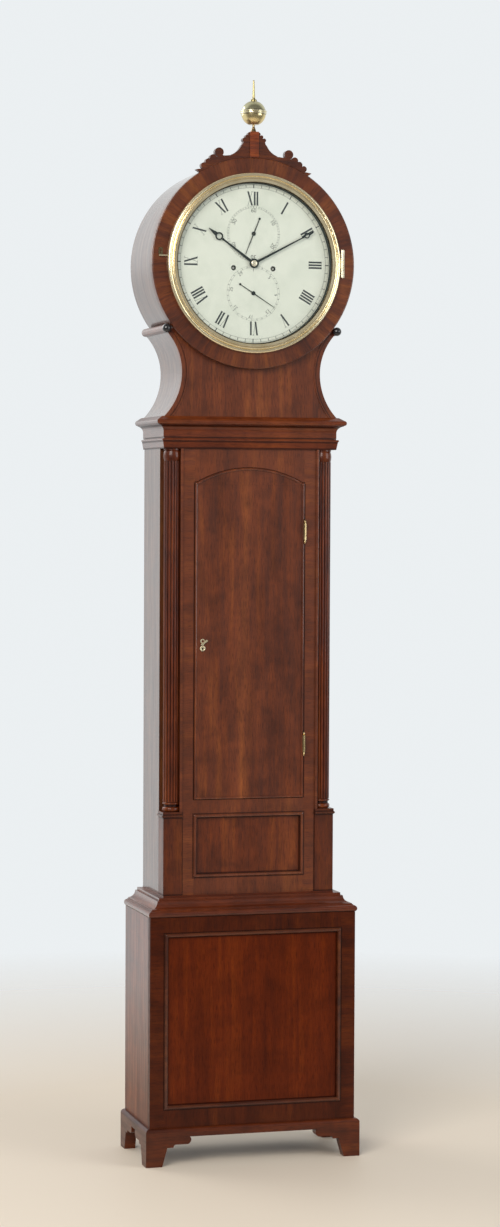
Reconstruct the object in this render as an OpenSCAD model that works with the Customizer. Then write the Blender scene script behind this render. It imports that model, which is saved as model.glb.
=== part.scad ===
// Drumhead longcase clock with a twelve inch dial
// Millimetres. +Z is up, the dial faces -Y, and the origin is on the floor at the middle of the base.
// Depths are counted forwards from the flat back of the case, heights from the floor.

/* [Base and plinth] */
// Width of the bracket base over its corners
base_w = 426.4; // [400:1:460]
// Depth of the bracket base
base_d = 206.2; // [200:1:240]
// Height of the bracket base with its feet
base_h = 72.8; // [68:0.1:90]
// Height of the skirt's lower edge above the floor
skirt_z = 56; // [48:0.5:58]
// Thickness of the base boards
base_board_t = 22; // [18:1:28]
// Width of a foot where it meets the floor
foot_w = 31.5; // [26:0.5:38]
// Length of a bracket foot from the corner to the skirt
foot_run = 89; // [80:1:110]
// How far the base stands out beyond the plinth
base_over = 8.8; // [6:0.1:9.4]
// Height of the plinth above the base
plinth_h = 401.9; // [340:0.1:460]
// Thickness of the plinth and trunk boards
board_t = 14; // [11:0.5:16]
// Width of the plinth frame's stiles
plinth_stile_w = 28.5; // [24:0.5:36]
// Height of the plinth frame's top rail
plinth_top_rail_h = 30.5; // [24:0.5:50]
// Height of the plinth frame's bottom rail
plinth_low_rail_h = 35; // [28:0.5:60]
// Width of the moulding round the plinth panel
panel_bead_w = 7; // [5:0.5:10]
// How far the panels lie behind their frames
panel_recess = 5; // [3:0.5:6]
// Thickness of the panels
panel_t = 5; // [3:0.5:6]
// Height of the moulding between plinth and trunk
plinth_mould_h = 37.3; // [34:0.1:48]
// Radius of the bead that crowns the plinth
plinth_bead_r = 6.2; // [5:0.1:7]
// How far the crown bead stands out beyond the plinth
plinth_bead_out = 3.3; // [2:0.1:5]

/* [Trunk] */
// Width of the trunk
trunk_w = 340; // [336:0.5:344]
// Depth of the trunk over its column blocks
trunk_d = 160.6; // [158:0.1:163]
// Height of the trunk between its mouldings
trunk_h = 854.8; // [800:0.1:900]
// Thickness of the trunk sides
side_t = 12; // [10:0.5:14]
// Thickness of the backboard
back_t = 12; // [9:0.5:14]
// How far the trunk frame lies behind the column blocks
frame_setback = 2; // [1:0.1:4]
// Outer radius of a corner column
column_r = 17.2; // [16:0.1:18]
// Width and depth of the corner rebate that holds a column
corner_w = 37; // [34:0.5:40]
// Number of reeds round a column
reed_n = 16; // [14:1:18]
// Height of the block below a column
block_h = 160; // [130:0.5:170]
// Height of a column's turned base
column_base_h = 20; // [18:0.5:26]
// Height of a column's turned capital
column_cap_h = 24.5; // [22:0.5:30]
// Height of the moulding under the hood
throat_h = 21.2; // [18:0.1:24]
// How far the moulding under the hood stands out
throat_out = 6; // [4:0.1:7]

/* [Trunk door and lower panel] */
// Width of the trunk door
door_w = 218.6; // [200:0.1:222]
// Height of the trunk door to the springing of its arch
door_h = 608; // [540:1:620]
// Rise of the door's arched top
door_rise = 28; // [16:0.5:32]
// Width of the square shoulder beside the arch
door_shoulder = 4; // [2:0.5:8]
// Thickness of the trunk door
door_t = 9; // [8:0.5:9.5]
// Running gap round the door
door_gap = 1; // [0.6:0.1:1.5]
// Height of the door's foot above the trunk's foot
door_low = 183; // [175:1:200]
// Radius of the cock bead round the door
cock_bead_r = 2.2; // [1.5:0.1:2.8]
// Width of the lower panel's opening
low_panel_w = 221; // [180:0.5:226]
// Height of the lower panel's opening
low_panel_h = 122; // [100:0.5:124]
// Height of the lower panel's opening above the trunk's foot
low_panel_z = 33; // [26:0.5:34]
// Height of a door hinge between its finials
hinge_h = 32; // [26:0.5:36]
// Radius of a hinge knuckle
knuckle_r = 3; // [2.6:0.1:3.4]
// Radius of a hinge pin
hinge_pin_r = 1.4; // [1:0.1:1.6]
// Radial clearance of a pin or pivot in its hole
pivot_clear = 0.05; // [0.03:0.01:0.09]
// Height of the lower hinge's middle above the door's foot
hinge_low_z = 104; // [80:1:130]
// Height of the upper hinge's middle above the door's foot
hinge_high_z = 514; // [460:1:540]
// Height of the keyhole above the door's foot
keyhole_z = 290; // [240:1:330]
// Distance of the keyhole from the door's edge
keyhole_in = 16; // [14:0.5:20]
// Travel of the lock bolt
bolt_travel = 5; // [4:0.5:6]

/* [Hood] */
// Height of the moulding that carries the hood
hood_base_h = 40; // [38:0.5:46]
// How far the hood's moulding stands out beyond the trunk
hood_out = 18.5; // [16:0.5:20]
// Height of the waisted neck
waist_h = 158; // [150:1:166]
// Width of the neck at its narrowest
waist_w = 274.8; // [270:0.2:280]
// Height of the narrowest place above the neck's foot
waist_narrow_z = 84; // [76:1:92]
// Width of the neck at its foot
waist_foot_w = 343; // [336:1:350]
// Width of the neck at its top
waist_head_w = 331; // [326:1:336]
// Depth of the neck's front face
waist_d = 164; // [160:0.5:166]
// Thickness of the neck's walls
waist_t = 9; // [7:0.5:9.5]
// Running gap between parts that slide or swing past each other
run_gap = 0.3; // [0.3:0.05:0.5]
// Thickness of the ledge between neck and drum
ledge_t = 8; // [6:0.5:10]
// Radius of the half round moulding along the ledge
ledge_bead_r = 7.8; // [6:0.1:8]
// Radius of the ebonised bosses
boss_r = 8.4; // [6:0.1:8.6]
// Height of the dial's centre above the ledge
dial_rise = 126; // [122:1:132]
// Outer radius of the drum's front ring
ring_r = 200.8; // [198:0.1:202]
// Thickness of the drum's front ring
ring_t = 15.6; // [12:0.1:16]
// Outer radius of the drum
drum_r = 198.5; // [194:0.1:200]
// Wall of the drum
drum_wall = 6; // [4:0.5:8]
// Thickness of the fretted crest
crest_t = 12; // [9:0.5:14]
// Radius of the brass ball
ball_r = 23.6; // [22:0.2:28]
// Height of the spike above the ball
spike_h = 39.2; // [28:0.2:44]

/* [Bezel, dial and hands] */
// Outer radius of the bezel
bezel_r = 171.3; // [168:0.1:173]
// Radius of the bezel's sight edge
sight_r = 152.4; // [150:0.1:154]
// How far the bezel stands out from the ring
bezel_h = 8.4; // [7:0.1:9]
// Thickness of the glass
glass_t = 1.8; // [1.5:0.1:2.2]
// Radius of the dial plate
dial_r = 156; // [155:0.1:157]
// Thickness of the dial plate
dial_t = 1.6; // [1.2:0.1:2]
// How far the dial lies behind the ring's face
dial_back = 5.6; // [5:0.1:6.4]
// Distance of the seconds and date centres from the dial's centre
subdial_off = 56.6; // [54:0.1:59]
// Distance of a winding hole beside the dial's centre
winding_x = 39.2; // [37:0.1:41]
// Distance of the winding holes below the dial's centre
winding_drop = 9; // [7:0.5:11]
// Radius of a winding hole in the dial
winding_hole_r = 5; // [4.2:0.1:6]
// Length of the minute hand
minute_len = 135; // [115:1:140]
// Length of the hour hand
hour_len = 110; // [90:1:114]
// Length of the seconds hand
seconds_len = 42.5; // [36:0.5:45]
// Length of the date hand
date_len = 50; // [40:0.5:51]
// Length of the tails of the seconds hand and the date hand
small_tail = 31; // [24:0.5:34]
// Thickness of the hands
hand_t = 0.9; // [0.7:0.05:1.1]
// Angle of the hour hand, clockwise from twelve
hour_angle = 306; // [0:1:359]
// Angle of the minute hand, clockwise from twelve
minute_angle = 62; // [0:1:359]
// Angle of the seconds hand, clockwise from its sixty
seconds_angle = 202; // [0:1:359]
// Angle of the date hand, clockwise from its top
date_angle = 122; // [0:1:359]

/* [Movement] */
// Distance from the back of the case to the back plate
plate_back_d = 80; // [79:0.5:81]
// Distance between the two plates
plate_gap = 60; // [59:0.5:61]
// Thickness of a plate
plate_t = 3; // [2.5:0.1:3.5]
// Width of the plates
plate_w = 126; // [122:1:132]
// Height of the plates below the dial's centre
plate_low = 82; // [78:1:86]
// Height of the plates above the dial's centre
plate_high = 94; // [90:1:98]
// Thickness of the seatboard
seat_t = 18; // [14:0.5:22]
// Distance between the cheeks that carry the seatboard
cheek_gap = 228; // [222:1:230]
// Radius of a winding barrel
barrel_r = 17.5; // [15:0.5:18]
// Number of turns of gut on a barrel
barrel_turns = 16; // [14:1:18]
// Radius of the gut line
gut_r = 0.8; // [0.6:0.1:1]
// Radius of a weight pulley
pulley_r = 21; // [19:0.5:23]
// Radius of a weight
weight_r = 27; // [24:0.5:28]
// Height of a weight
weight_h = 170; // [150:1:190]
// Teeth of the great wheel
great_n = 96; // [96:1:96]
// Teeth of the centre wheel
centre_n = 60; // [60:1:60]
// Teeth of the third wheel
third_n = 64; // [64:1:64]
// Leaves of the pinions
pinion_n = 8; // [8:1:8]
// Teeth of the escape wheel
escape_n = 30; // [30:1:30]
// Radius of the escape wheel
escape_r = 18; // [16:0.5:18.5]
// Length of the pendulum from its pivot to the middle of the bob
pendulum_len = 994; // [970:1:1010]
// Radius of the pendulum bob
bob_r = 50; // [44:1:54]
// Thickness of the pendulum bob
bob_t = 24; // [18:1:26]
// Distance from the back of the case to the pendulum
pendulum_d = 60; // [58:0.5:61]
// Radius of the bell
bell_r = 42; // [36:0.5:44]

/* [Hidden] */
$fn = 96;
eps = 0.01; // overlap that joins two shapes of one solid
seat_gap = 0.1; // gap between neighbouring lengths of one moulding

mahogany = "#6b3a26";
dark_mahogany = "#50281a";
oak = "#a07a50";
brass = "#d8b36a";
steel = "#8b8f96";
blued = "#23262e";
ebony = "#15120f";

back_y = base_d / 2;

// Heights above the floor
plinth_z = base_h;
plinth_mould_z = plinth_z + plinth_h;
trunk_z = plinth_mould_z + plinth_mould_h;
throat_z = trunk_z + trunk_h;
hood_z = throat_z + throat_h + run_gap;
neck_z = hood_z + hood_base_h;
ledge_z = neck_z + waist_h;
dial_z = ledge_z + ledge_t + dial_rise;
seat_z = dial_z - plate_low;
cheek_z = throat_z + throat_h;

// Half widths and depths
base_hw = base_w / 2;
plinth_hw = base_hw - base_over;
plinth_d = base_d - base_over;
trunk_hw = trunk_w / 2;
frame_d = trunk_d - frame_setback;
recess_x = trunk_hw - corner_w;
recess_d = trunk_d - corner_w;
ring_d = waist_d + ring_t;
neck_hw = waist_w / 2;

// Doorway
door_hw = door_w / 2;
door_z = trunk_z + door_low;
spring_z = door_z + door_h;
arch_hw = door_hw - door_shoulder;
arch_r = (arch_hw * arch_hw + door_rise * door_rise) / (2 * door_rise);
door_back = frame_d - door_t;
hinge_x = door_hw + 0.3;
hinge_d = frame_d + knuckle_r + run_gap;

// Dial and hands, counted from the back
dial_face = ring_d - dial_back;
small_d = dial_face + 0.9;
hour_d = dial_face + 2.8;
minute_d = dial_face + 5;
glass_d = ring_d + bezel_h - 3.6;
front_plate_d = plate_back_d + plate_t + plate_gap;

// Arbors, as places beside and above the dial's centre
winding_z = dial_z - winding_drop;
great_dist = sqrt(winding_x * winding_x + winding_drop * winding_drop);
great_m = 2 * great_dist / (great_n + pinion_n);
third_dist = 30.6;
third_z = dial_z + subdial_off / 2;
third_x = sqrt(third_dist * third_dist - subdial_off * subdial_off / 4);
train_m = 2 * third_dist / (centre_n + pinion_n);
train2_m = 2 * third_dist / (third_n + pinion_n);
escape_z = dial_z + subdial_off;
pallet_z = escape_z + escape_r * sqrt(2);
motion_dist = 27;
motion_n = 36;
motion_m = motion_dist / motion_n;
hour_n = 72;
hour_pinion_n = 6;
hour_m = 2 * motion_dist / (hour_n + hour_pinion_n);
arbor_r = 1.5;
pivot_r = 1;

// Depths of the wheels
great_d = plate_back_d + plate_t + 5;
barrel_d = great_d + 5;
barrel_len = 2 * barrel_turns * gut_r + 12;
centre_wheel_d = front_plate_d - 9.5;
third_wheel_d = front_plate_d - 4.5;
escape_wheel_d = plate_back_d + plate_t + 9;
wheel_t = 2;
motion_d = front_plate_d + plate_t + 3;
line_d = barrel_d + barrel_len / 2;

// Weights, rest at the foot of their travel
line_in = winding_x - barrel_r - gut_r;
weight_x = line_in + pulley_r + gut_r;
weight_z = trunk_z + 26;
weight_travel = 820;
pulley_z = weight_z + weight_h + 42;

// A box between two corners, its depths counted from the back
module slab(x0, x1, d0, d1, z0, z1) {
  translate([x0, back_y - d1, z0])
    cube([x1 - x0, d1 - d0, z1 - z0]);
}

// An outline seen from the front, given thickness from depth d0 to d1
module sheet(d0, d1) {
  translate([0, back_y - d0, 0])
    rotate([90, 0, 0])
      linear_extrude(d1 - d0)
        children();
}

// An outline of radius and forward distance, turned about an axis that runs forwards
module turned(x, z, d) {
  translate([x, back_y - d, z])
    rotate([90, 0, 0])
      rotate_extrude()
        children();
}

// A round bar that runs forwards
module bar(x, z, d0, d1, r) {
  translate([x, back_y - d0, z])
    rotate([90, 0, 0])
      cylinder(h = d1 - d0, r = r);
}

// Both sides of what is made on the right
module both_sides() {
  for (m = [0, 1])
    mirror([m, 0, 0])
      children();
}

// Three mitred lengths of one moulding round the front of a case.
// The outline's x is the distance out from the case, its y the height.
module mitred_front(half, front, reach, z0, z1) {
  intersection() {
    translate([0, back_y - front, 0])
      rotate([90, 0, -90])
        linear_extrude(2 * (half + reach), center = true)
          children();
    translate([0, back_y - front, z0])
      linear_extrude(z1 - z0)
        polygon([[-half + reach, reach], [half - reach, reach],
          [half + reach, -reach], [-half - reach, -reach]]);
  }
}

module mitred_sides(half, front, reach, z0, z1) {
  both_sides()
    intersection() {
      translate([half, back_y, 0])
        rotate([90, 0, 0])
          linear_extrude(front + reach)
            children();
      translate([half, back_y - front, z0])
        linear_extrude(z1 - z0)
          polygon([[-reach, front + eps], [-reach, reach + seat_gap], [reach, -reach + seat_gap],
            [reach, front + eps]]);
    }
}

// A frame of four beads that meet in rounded corners
module bead_frame(x, z0, z1, d, r) {
  for (z = [z0, z1])
    translate([-x, back_y - d, z])
      rotate([0, 90, 0])
        cylinder(h = 2 * x, r = r, $fn = 32);
  both_sides()
    translate([x, back_y - d, z0])
      cylinder(h = z1 - z0, r = r, $fn = 32);
  both_sides()
    for (z = [z0, z1])
      translate([x, back_y - d, z])
        sphere(r = r, $fn = 32);
}

// Outline of the bracket base: two feet with a step and an ogee lobe, joined by the skirt
foot_taper = 10.5;
foot_step_z = 36.2;
foot_cusp = 11.5;
lobe_r = 8.5;

module foot_cut(run) {
  polygon([[foot_w, -1], [foot_w + foot_taper, foot_step_z], [foot_w + foot_taper + foot_cusp, foot_step_z],
    [foot_w + foot_taper + foot_cusp + 3, foot_step_z + 5.5], [foot_run - lobe_r, foot_step_z + 5.5],
    [foot_run - lobe_r, skirt_z], [run, skirt_z], [run, -1]]);
  translate([foot_run, -1])
    square([run - foot_run, skirt_z + 1]);
}

module bracket_outline(width) {
  difference() {
    square([width, base_h]);
    difference() {
      union() {
        foot_cut(width / 2 + eps);
        translate([width, 0])
          mirror([1, 0])
            foot_cut(width / 2 + eps);
      }
      translate([foot_run - lobe_r, foot_step_z + 5.5 + lobe_r])
        circle(r = lobe_r);
      translate([width - foot_run + lobe_r, foot_step_z + 5.5 + lobe_r])
        circle(r = lobe_r);
    }
  }
}

// The board's section: the carcass stands on its ledge, and a thumb moulding eases its top edge
ledge_drop = 8.8;
ledge_base_z = base_h - ledge_drop;

module base_section() {
  thumb_r = base_over - 1.5;
  union() {
    translate([-base_board_t, 0])
      square([base_board_t, ledge_base_z]);
    translate([-base_over, 0])
      square([base_over, base_h - thumb_r + eps]);
    translate([-thumb_r, base_h - thumb_r])
      intersection() {
        circle(r = thumb_r);
        square(thumb_r);
      }
    translate([-base_over, base_h - thumb_r])
      square([base_over - thumb_r + eps, thumb_r]);
  }
}

module base_front() {
  color(dark_mahogany)
    intersection() {
      mitred_front(base_hw, base_d, base_board_t, 0, base_h)
        base_section();
      sheet(0, base_d)
        translate([-base_hw, 0])
          bracket_outline(base_w);
    }
}

module base_sides() {
  color(dark_mahogany)
    intersection() {
      mitred_sides(base_hw, base_d, base_board_t, 0, base_h)
        base_section();
      translate([-base_hw - 1, back_y, 0])
        rotate([90, 0, 90])
          linear_extrude(base_w + 2)
            mirror([1, 0])
              bracket_outline(base_d);
    }
}

module plinth_sides() {
  color(mahogany)
    both_sides()
      slab(plinth_hw - board_t, plinth_hw, 0, plinth_d - board_t, ledge_base_z, plinth_mould_z);
}

plinth_open_x = plinth_hw - plinth_stile_w;
plinth_open_z0 = plinth_z + plinth_low_rail_h;
plinth_open_z1 = plinth_mould_z - plinth_top_rail_h;

module plinth_front_frame() {
  color(mahogany)
    difference() {
      slab(-plinth_hw, plinth_hw, plinth_d - board_t, plinth_d, ledge_base_z, plinth_mould_z);
      slab(-plinth_open_x, plinth_open_x, plinth_d - board_t - 1, plinth_d + 1,
        plinth_open_z0, plinth_open_z1);
    }
}

module plinth_panel() {
  color(dark_mahogany)
    slab(-plinth_open_x, plinth_open_x, plinth_d - panel_recess - panel_t, plinth_d - panel_recess,
      plinth_open_z0, plinth_open_z1);
}

// A planted moulding: a fillet against the frame with a bead on it
module planted_frame(x, z0, z1, face) {
  difference() {
    slab(-x, x, face - panel_recess, face + 0.5, z0, z1);
    slab(-x + panel_bead_w, x - panel_bead_w, face - panel_recess - 1, face + 1,
      z0 + panel_bead_w, z1 - panel_bead_w);
  }
  bead_frame(x - panel_bead_w / 2, z0 + panel_bead_w / 2, z1 - panel_bead_w / 2, face + 0.5,
    panel_bead_w / 2 - 0.6);
}

module plinth_panel_moulding() {
  color(mahogany)
    planted_frame(plinth_open_x, plinth_open_z0, plinth_open_z1, plinth_d);
}

// The moulding that steps in from plinth to trunk. Its section is drawn inwards from the crown bead
plinth_step = plinth_hw + plinth_bead_out - trunk_hw;
plinth_front_step = plinth_d + plinth_bead_out - trunk_d;

module plinth_mould_section(inner) {
  crown_h = plinth_mould_h - 23.7;
  low_h = 12;
  fillet_in = 8.3;
  fillet_h = 15.5;
  cove_r = 14;
  small_r = 1.8;
  small_in = fillet_in + cove_r + 4;
  flat_in = min(plinth_step, plinth_front_step);
  union() {
    translate([-inner, plinth_mould_z])
      square([inner - plinth_bead_r, crown_h]);
    translate([-plinth_bead_r, plinth_mould_z + plinth_bead_r - 0.2])
      circle(r = plinth_bead_r);
    difference() {
      translate([-inner, plinth_mould_z + low_h])
        square([inner - fillet_in, fillet_h - low_h + cove_r]);
      translate([-fillet_in, plinth_mould_z + fillet_h + cove_r])
        circle(r = cove_r + eps);
    }
    translate([-inner, plinth_mould_z + low_h])
      square([inner - small_in, plinth_mould_h - low_h - 2.5]);
    translate([-small_in - small_r, trunk_z - small_r - 2.5])
      circle(r = small_r);
    translate([-inner, plinth_mould_z + low_h])
      square([inner - flat_in, plinth_mould_h - low_h]);
  }
}

module plinth_top_moulding() {
  crown_hw = plinth_hw + plinth_bead_out;
  crown_d = plinth_d + plinth_bead_out;
  reach = max(plinth_step, plinth_front_step) + side_t + 1;
  color(mahogany) {
    mitred_front(crown_hw, crown_d, reach, plinth_mould_z, trunk_z)
      plinth_mould_section(plinth_front_step + side_t);
    mitred_sides(crown_hw, crown_d, reach, plinth_mould_z, trunk_z)
      plinth_mould_section(plinth_step + side_t);
  }
}

// One board closes the back from the plinth to the drum
side_set = 0.5; // how far the trunk sides lie inside the column blocks
neck_back_hw = cheek_gap / 2 + side_t;
disc_r = drum_r - drum_wall - 7.5;

module backboard() {
  color(oak)
    sheet(0, back_t)
      union() {
        translate([-plinth_hw + board_t, ledge_base_z])
          square([2 * (plinth_hw - board_t), plinth_h]);
        translate([-trunk_hw + side_t + side_set, ledge_base_z])
          square([trunk_w - 2 * (side_t + side_set), throat_z - ledge_base_z]);
        translate([-neck_back_hw, throat_z])
          square([2 * neck_back_hw, dial_z - throat_z]);
        translate([0, dial_z])
          intersection() {
            circle(r = disc_r);
            translate([-disc_r, -plate_low])
              square([2 * disc_r, 2 * disc_r]);
          }
      }
}

// Each side has a return that closes the rebate behind its column
module trunk_sides() {
  color(mahogany)
    both_sides()
      union() {
        slab(trunk_hw - side_t - side_set, trunk_hw - side_set, 0, recess_d, trunk_z, throat_z);
        slab(recess_x - side_t, trunk_hw - side_t, recess_d - side_t, recess_d, trunk_z, throat_z);
        slab(recess_x - side_t, recess_x, recess_d - eps, frame_d - board_t, trunk_z, throat_z);
      }
}

// The doorway: straight sides with square shoulders under a segmental arch
module door_outline(grow) {
  translate([-door_hw - grow, door_z - grow])
    square([door_w + 2 * grow, door_h + 2 * grow]);
  intersection() {
    translate([0, spring_z + door_rise - arch_r])
      circle(r = arch_r + grow, $fn = 180);
    translate([-arch_hw - grow, spring_z])
      square([2 * (arch_hw + grow), door_rise + grow]);
  }
}

low_open_x = low_panel_w / 2;
low_open_z0 = trunk_z + low_panel_z;
low_open_z1 = low_open_z0 + low_panel_h;
leaf_t = 0.8;
leaf_reach = 10;

function hinge_zs() = [door_z + hinge_low_z, door_z + hinge_high_z];

module trunk_front_frame() {
  color(mahogany) {
    difference() {
      slab(-recess_x, recess_x, frame_d - board_t, frame_d, trunk_z, throat_z);
      sheet(frame_d - board_t - 1, frame_d + 1)
        door_outline(door_gap);
      slab(-low_open_x, low_open_x, frame_d - board_t - 1, frame_d + 1, low_open_z0, low_open_z1);
      for (z = hinge_zs())
        slab(door_hw, hinge_x + leaf_t + 0.1 + door_gap, frame_d - leaf_reach - 0.2, frame_d + 1,
          z - hinge_h / 2 - 0.1, z + hinge_h / 2 + 0.1);
      slab(-door_hw - door_gap - bolt_travel - 2, -door_hw, lock_d - 3, lock_d + 3,
        door_z + keyhole_z - 7, door_z + keyhole_z + 7);
    }
    planted_frame(low_open_x, low_open_z0, low_open_z1, frame_d);
  }
}

module trunk_lower_panel() {
  color(mahogany)
    slab(-low_open_x, low_open_x, frame_d - panel_recess - panel_t, frame_d - panel_recess,
      low_open_z0, low_open_z1);
}

block_cap_h = 5.7;
block_cap_out = 3.5;
block_step_h = 4.8;
block_top = trunk_z + block_h - block_step_h;

module column_blocks() {
  color(mahogany)
    both_sides() {
      slab(recess_x, trunk_hw, recess_d, trunk_d, trunk_z, block_top - block_cap_h);
      slab(recess_x, trunk_hw + 1, recess_d, trunk_d + 1, block_top - eps, trunk_z + block_h);
      intersection() {
        slab(recess_x, trunk_hw + block_cap_out, recess_d, trunk_d + block_cap_out,
          block_top - block_cap_h, block_top);
        union() {
          slab(recess_x, trunk_hw + 1.5, recess_d, trunk_d + 1.5, trunk_z, block_top);
          translate([0, 0, block_top - block_cap_h / 2]) {
            translate([recess_x, back_y - trunk_d - 1.5, 0])
              rotate([0, 90, 0])
                cylinder(h = corner_w + 1.5, r = 2, $fn = 32);
            translate([trunk_hw + 1.5, back_y - recess_d, 0])
              rotate([90, 0, 0])
                cylinder(h = trunk_d - recess_d + 1.5, r = 2, $fn = 32);
            translate([trunk_hw + 1.5, back_y - trunk_d - 1.5, 0])
              sphere(r = 2, $fn = 32);
          }
        }
      }
    }
}

column_x = recess_x + column_r + 0.2;
column_d = trunk_d - column_r - 0.2;
column_z = trunk_z + block_h;
column_top = throat_z;
shaft_r = column_r - 1.2;
reed_r = PI * (shaft_r - 1.2) / reed_n;

// Turned base: a torus below and a thin ring above. Turned capital: a plain swelling drum.
module column_turning() {
  foot = column_base_h;
  rotate_extrude()
    union() {
      square([column_r - 3, foot]);
      translate([column_r - 5, 5.2])
        circle(r = 5, $fn = 48);
      translate([column_r - 2.3, foot - 4])
        circle(r = 1.8, $fn = 32);
    }
  translate([0, 0, column_top - column_z - column_cap_h])
    rotate_extrude()
      union() {
        square([column_r - 3.6, column_cap_h]);
        for (z = [0.36, 0.62])
          translate([column_r - 9.1, column_cap_h * z])
            circle(r = 7.6, $fn = 48);
      }
}

module column_shaft() {
  linear_extrude(column_top - column_z - column_base_h - column_cap_h + 2)
    union() {
      circle(r = shaft_r - 1.2);
      for (i = [0:reed_n - 1])
        rotate(360 * (i + 0.5) / reed_n)
          translate([shaft_r - reed_r, 0])
            circle(r = reed_r, $fn = 24);
    }
}

module columns() {
  color(mahogany)
    both_sides()
      translate([column_x, back_y - column_d, column_z]) {
        column_turning();
        translate([0, 0, column_base_h - 1])
          column_shaft();
      }
}

// The frame on top of the trunk, with the small moulding under the hood
module throat_section() {
  union() {
    translate([-(trunk_hw - cheek_gap / 2), throat_z])
      square([trunk_hw - cheek_gap / 2 + 1.5, throat_h]);
    polygon([[0, throat_z], [1.8, throat_z], [throat_out - 1.4, throat_z + throat_h - 6],
      [throat_out - 1.4, throat_z + throat_h - 2.6], [0, throat_z + throat_h - 2.6]]);
    translate([throat_out - 2, throat_z + throat_h - 4.2])
      circle(r = 2, $fn = 32);
  }
}

module throat_frame() {
  reach = trunk_hw - cheek_gap / 2;
  front = trunk_d;
  color(mahogany) {
    difference() {
      mitred_front(trunk_hw, front, reach, throat_z, throat_z + throat_h)
        throat_section();
      slab(-cheek_gap / 2, cheek_gap / 2, 0, frame_d - board_t - 2, throat_z - 1, hood_z);
    }
    difference() {
      mitred_sides(trunk_hw, front, reach, throat_z, throat_z + throat_h)
        throat_section();
      slab(-neck_back_hw, neck_back_hw, -1, back_t, throat_z - 1, hood_z);
    }
  }
}

cheek_depth = front_plate_d - 2;
seat_front_d = front_plate_d + plate_t + 4;

module cheeks() {
  color(oak)
    both_sides()
      slab(cheek_gap / 2, cheek_gap / 2 + side_t, back_t, cheek_depth, cheek_z, seat_z - seat_t);
}

module seatboard() {
  color(oak)
    difference() {
      slab(-cheek_gap / 2 - side_t, cheek_gap / 2 + side_t, plate_back_d - 6, seat_front_d,
        seat_z - seat_t, seat_z);
      for (s = [-1, 1])
        slab(s * line_in - 6, s * line_in + 6, line_d - barrel_len / 2, line_d + barrel_len / 2,
          seat_z - seat_t - 1, seat_z + 1);
    }
}

keyhole_x = -(door_hw - keyhole_in);
keyhole_at = door_z + keyhole_z;
lock_d = door_back - 2.4;
lock_w = 36;
lock_h = 52;
lock_t = 9;
bolt_h = 11;
bolt_t = 3;
bolt_gap = 0.2;
lock_x0 = -door_hw + 1;

module keyhole_outline() {
  circle(r = 1.7, $fn = 32);
  translate([-0.9, -6])
    square([1.8, 6]);
}

module trunk_door() {
  color(mahogany)
    difference() {
      union() {
        sheet(door_back, frame_d)
          door_outline(0);
        sheet(frame_d - eps, frame_d + 0.6)
          difference() {
            door_outline(0);
            door_outline(-2 * cock_bead_r - 0.4);
          }
        door_bead();
      }
      translate([keyhole_x, 0, keyhole_at])
        sheet(door_back - 1, frame_d + 1)
          scale(1.15)
            keyhole_outline();
      for (z = hinge_zs()) {
        slab(hinge_x - leaf_t - 0.1 - door_gap / 2, door_hw + 5, frame_d - leaf_reach - 0.2,
          frame_d + 1, z - hinge_h / 2 - 0.1, z + hinge_h / 2 + 0.1);
        slab(hinge_x - knuckle_r - 0.4, door_hw + 5, frame_d, frame_d + 2 * knuckle_r,
          z - hinge_h / 2 - 8.5, z + hinge_h / 2 + 8.5);
      }
    }
}

// Half round cock bead, following the sides, the foot, the shoulders and the arch
bead_edge = 0.2;

module door_bead() {
  r = cock_bead_r;
  in = r + bead_edge;
  x = door_hw - in;
  shoulder_x = arch_hw - in;
  top_r = arch_r - in;
  face = back_y - frame_d - 0.6;
  centre = spring_z + door_rise - arch_r;
  sweep = asin(shoulder_x / top_r);
  both_sides()
    translate([x, face, door_z + in])
      cylinder(h = door_h - 2 * in, r = r, $fn = 32);
  translate([-x, face, door_z + in])
    rotate([0, 90, 0])
      cylinder(h = 2 * x, r = r, $fn = 32);
  both_sides()
    for (z = [door_z + in, spring_z - in])
      translate([x, face, z])
        sphere(r = r, $fn = 32);
  translate([0, face, centre])
    rotate([0, sweep - 90, 0])
      rotate([90, 0, 0])
        rotate_extrude(angle = 2 * sweep, $fn = 180)
          translate([top_r, 0])
            circle(r = r, $fn = 32);
  both_sides()
    translate([shoulder_x - 0.5, face, spring_z - in])
      rotate([0, 90, 0])
        cylinder(h = door_shoulder + 0.5, r = r, $fn = 32);
}

module hinge_finial(z, dir) {
  translate([hinge_x, back_y - hinge_d, z])
    rotate([dir > 0 ? 0 : 180, 0, 0])
      rotate_extrude($fn = 48)
        union() {
          square([knuckle_r - 0.6, 1.6]);
          translate([0, 3.4])
            intersection() {
              circle(r = 2.2, $fn = 32);
              translate([0, -2.2])
                square([2.2, 4.4]);
            }
          polygon([[0, 4], [1.5, 4.6], [0, 8]]);
        }
}

// Two outer knuckles on a leaf let into the stile, with the pin and its finials
module door_hinge_posts() {
  color(brass)
    for (z = hinge_zs()) {
      end_h = hinge_h / 3;
      for (z0 = [z - hinge_h / 2, z + hinge_h / 2 - end_h])
        translate([hinge_x, back_y - hinge_d, z0])
          cylinder(h = end_h, r = knuckle_r, $fn = 48);
      translate([hinge_x, back_y - hinge_d, z - hinge_h / 2])
        cylinder(h = hinge_h, r = hinge_pin_r, $fn = 48);
      for (z0 = [z - hinge_h / 2, z + hinge_h / 2 - end_h])
        slab(hinge_x + door_gap, hinge_x + door_gap + leaf_t, frame_d - leaf_reach, hinge_d,
          z0, z0 + end_h);
      slab(hinge_x + door_gap, hinge_x + door_gap + leaf_t, frame_d - leaf_reach, frame_d - 0.5,
        z - hinge_h / 2, z + hinge_h / 2);
      hinge_finial(z + hinge_h / 2 - eps, 1);
      hinge_finial(z - hinge_h / 2 + eps, -1);
    }
}

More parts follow.
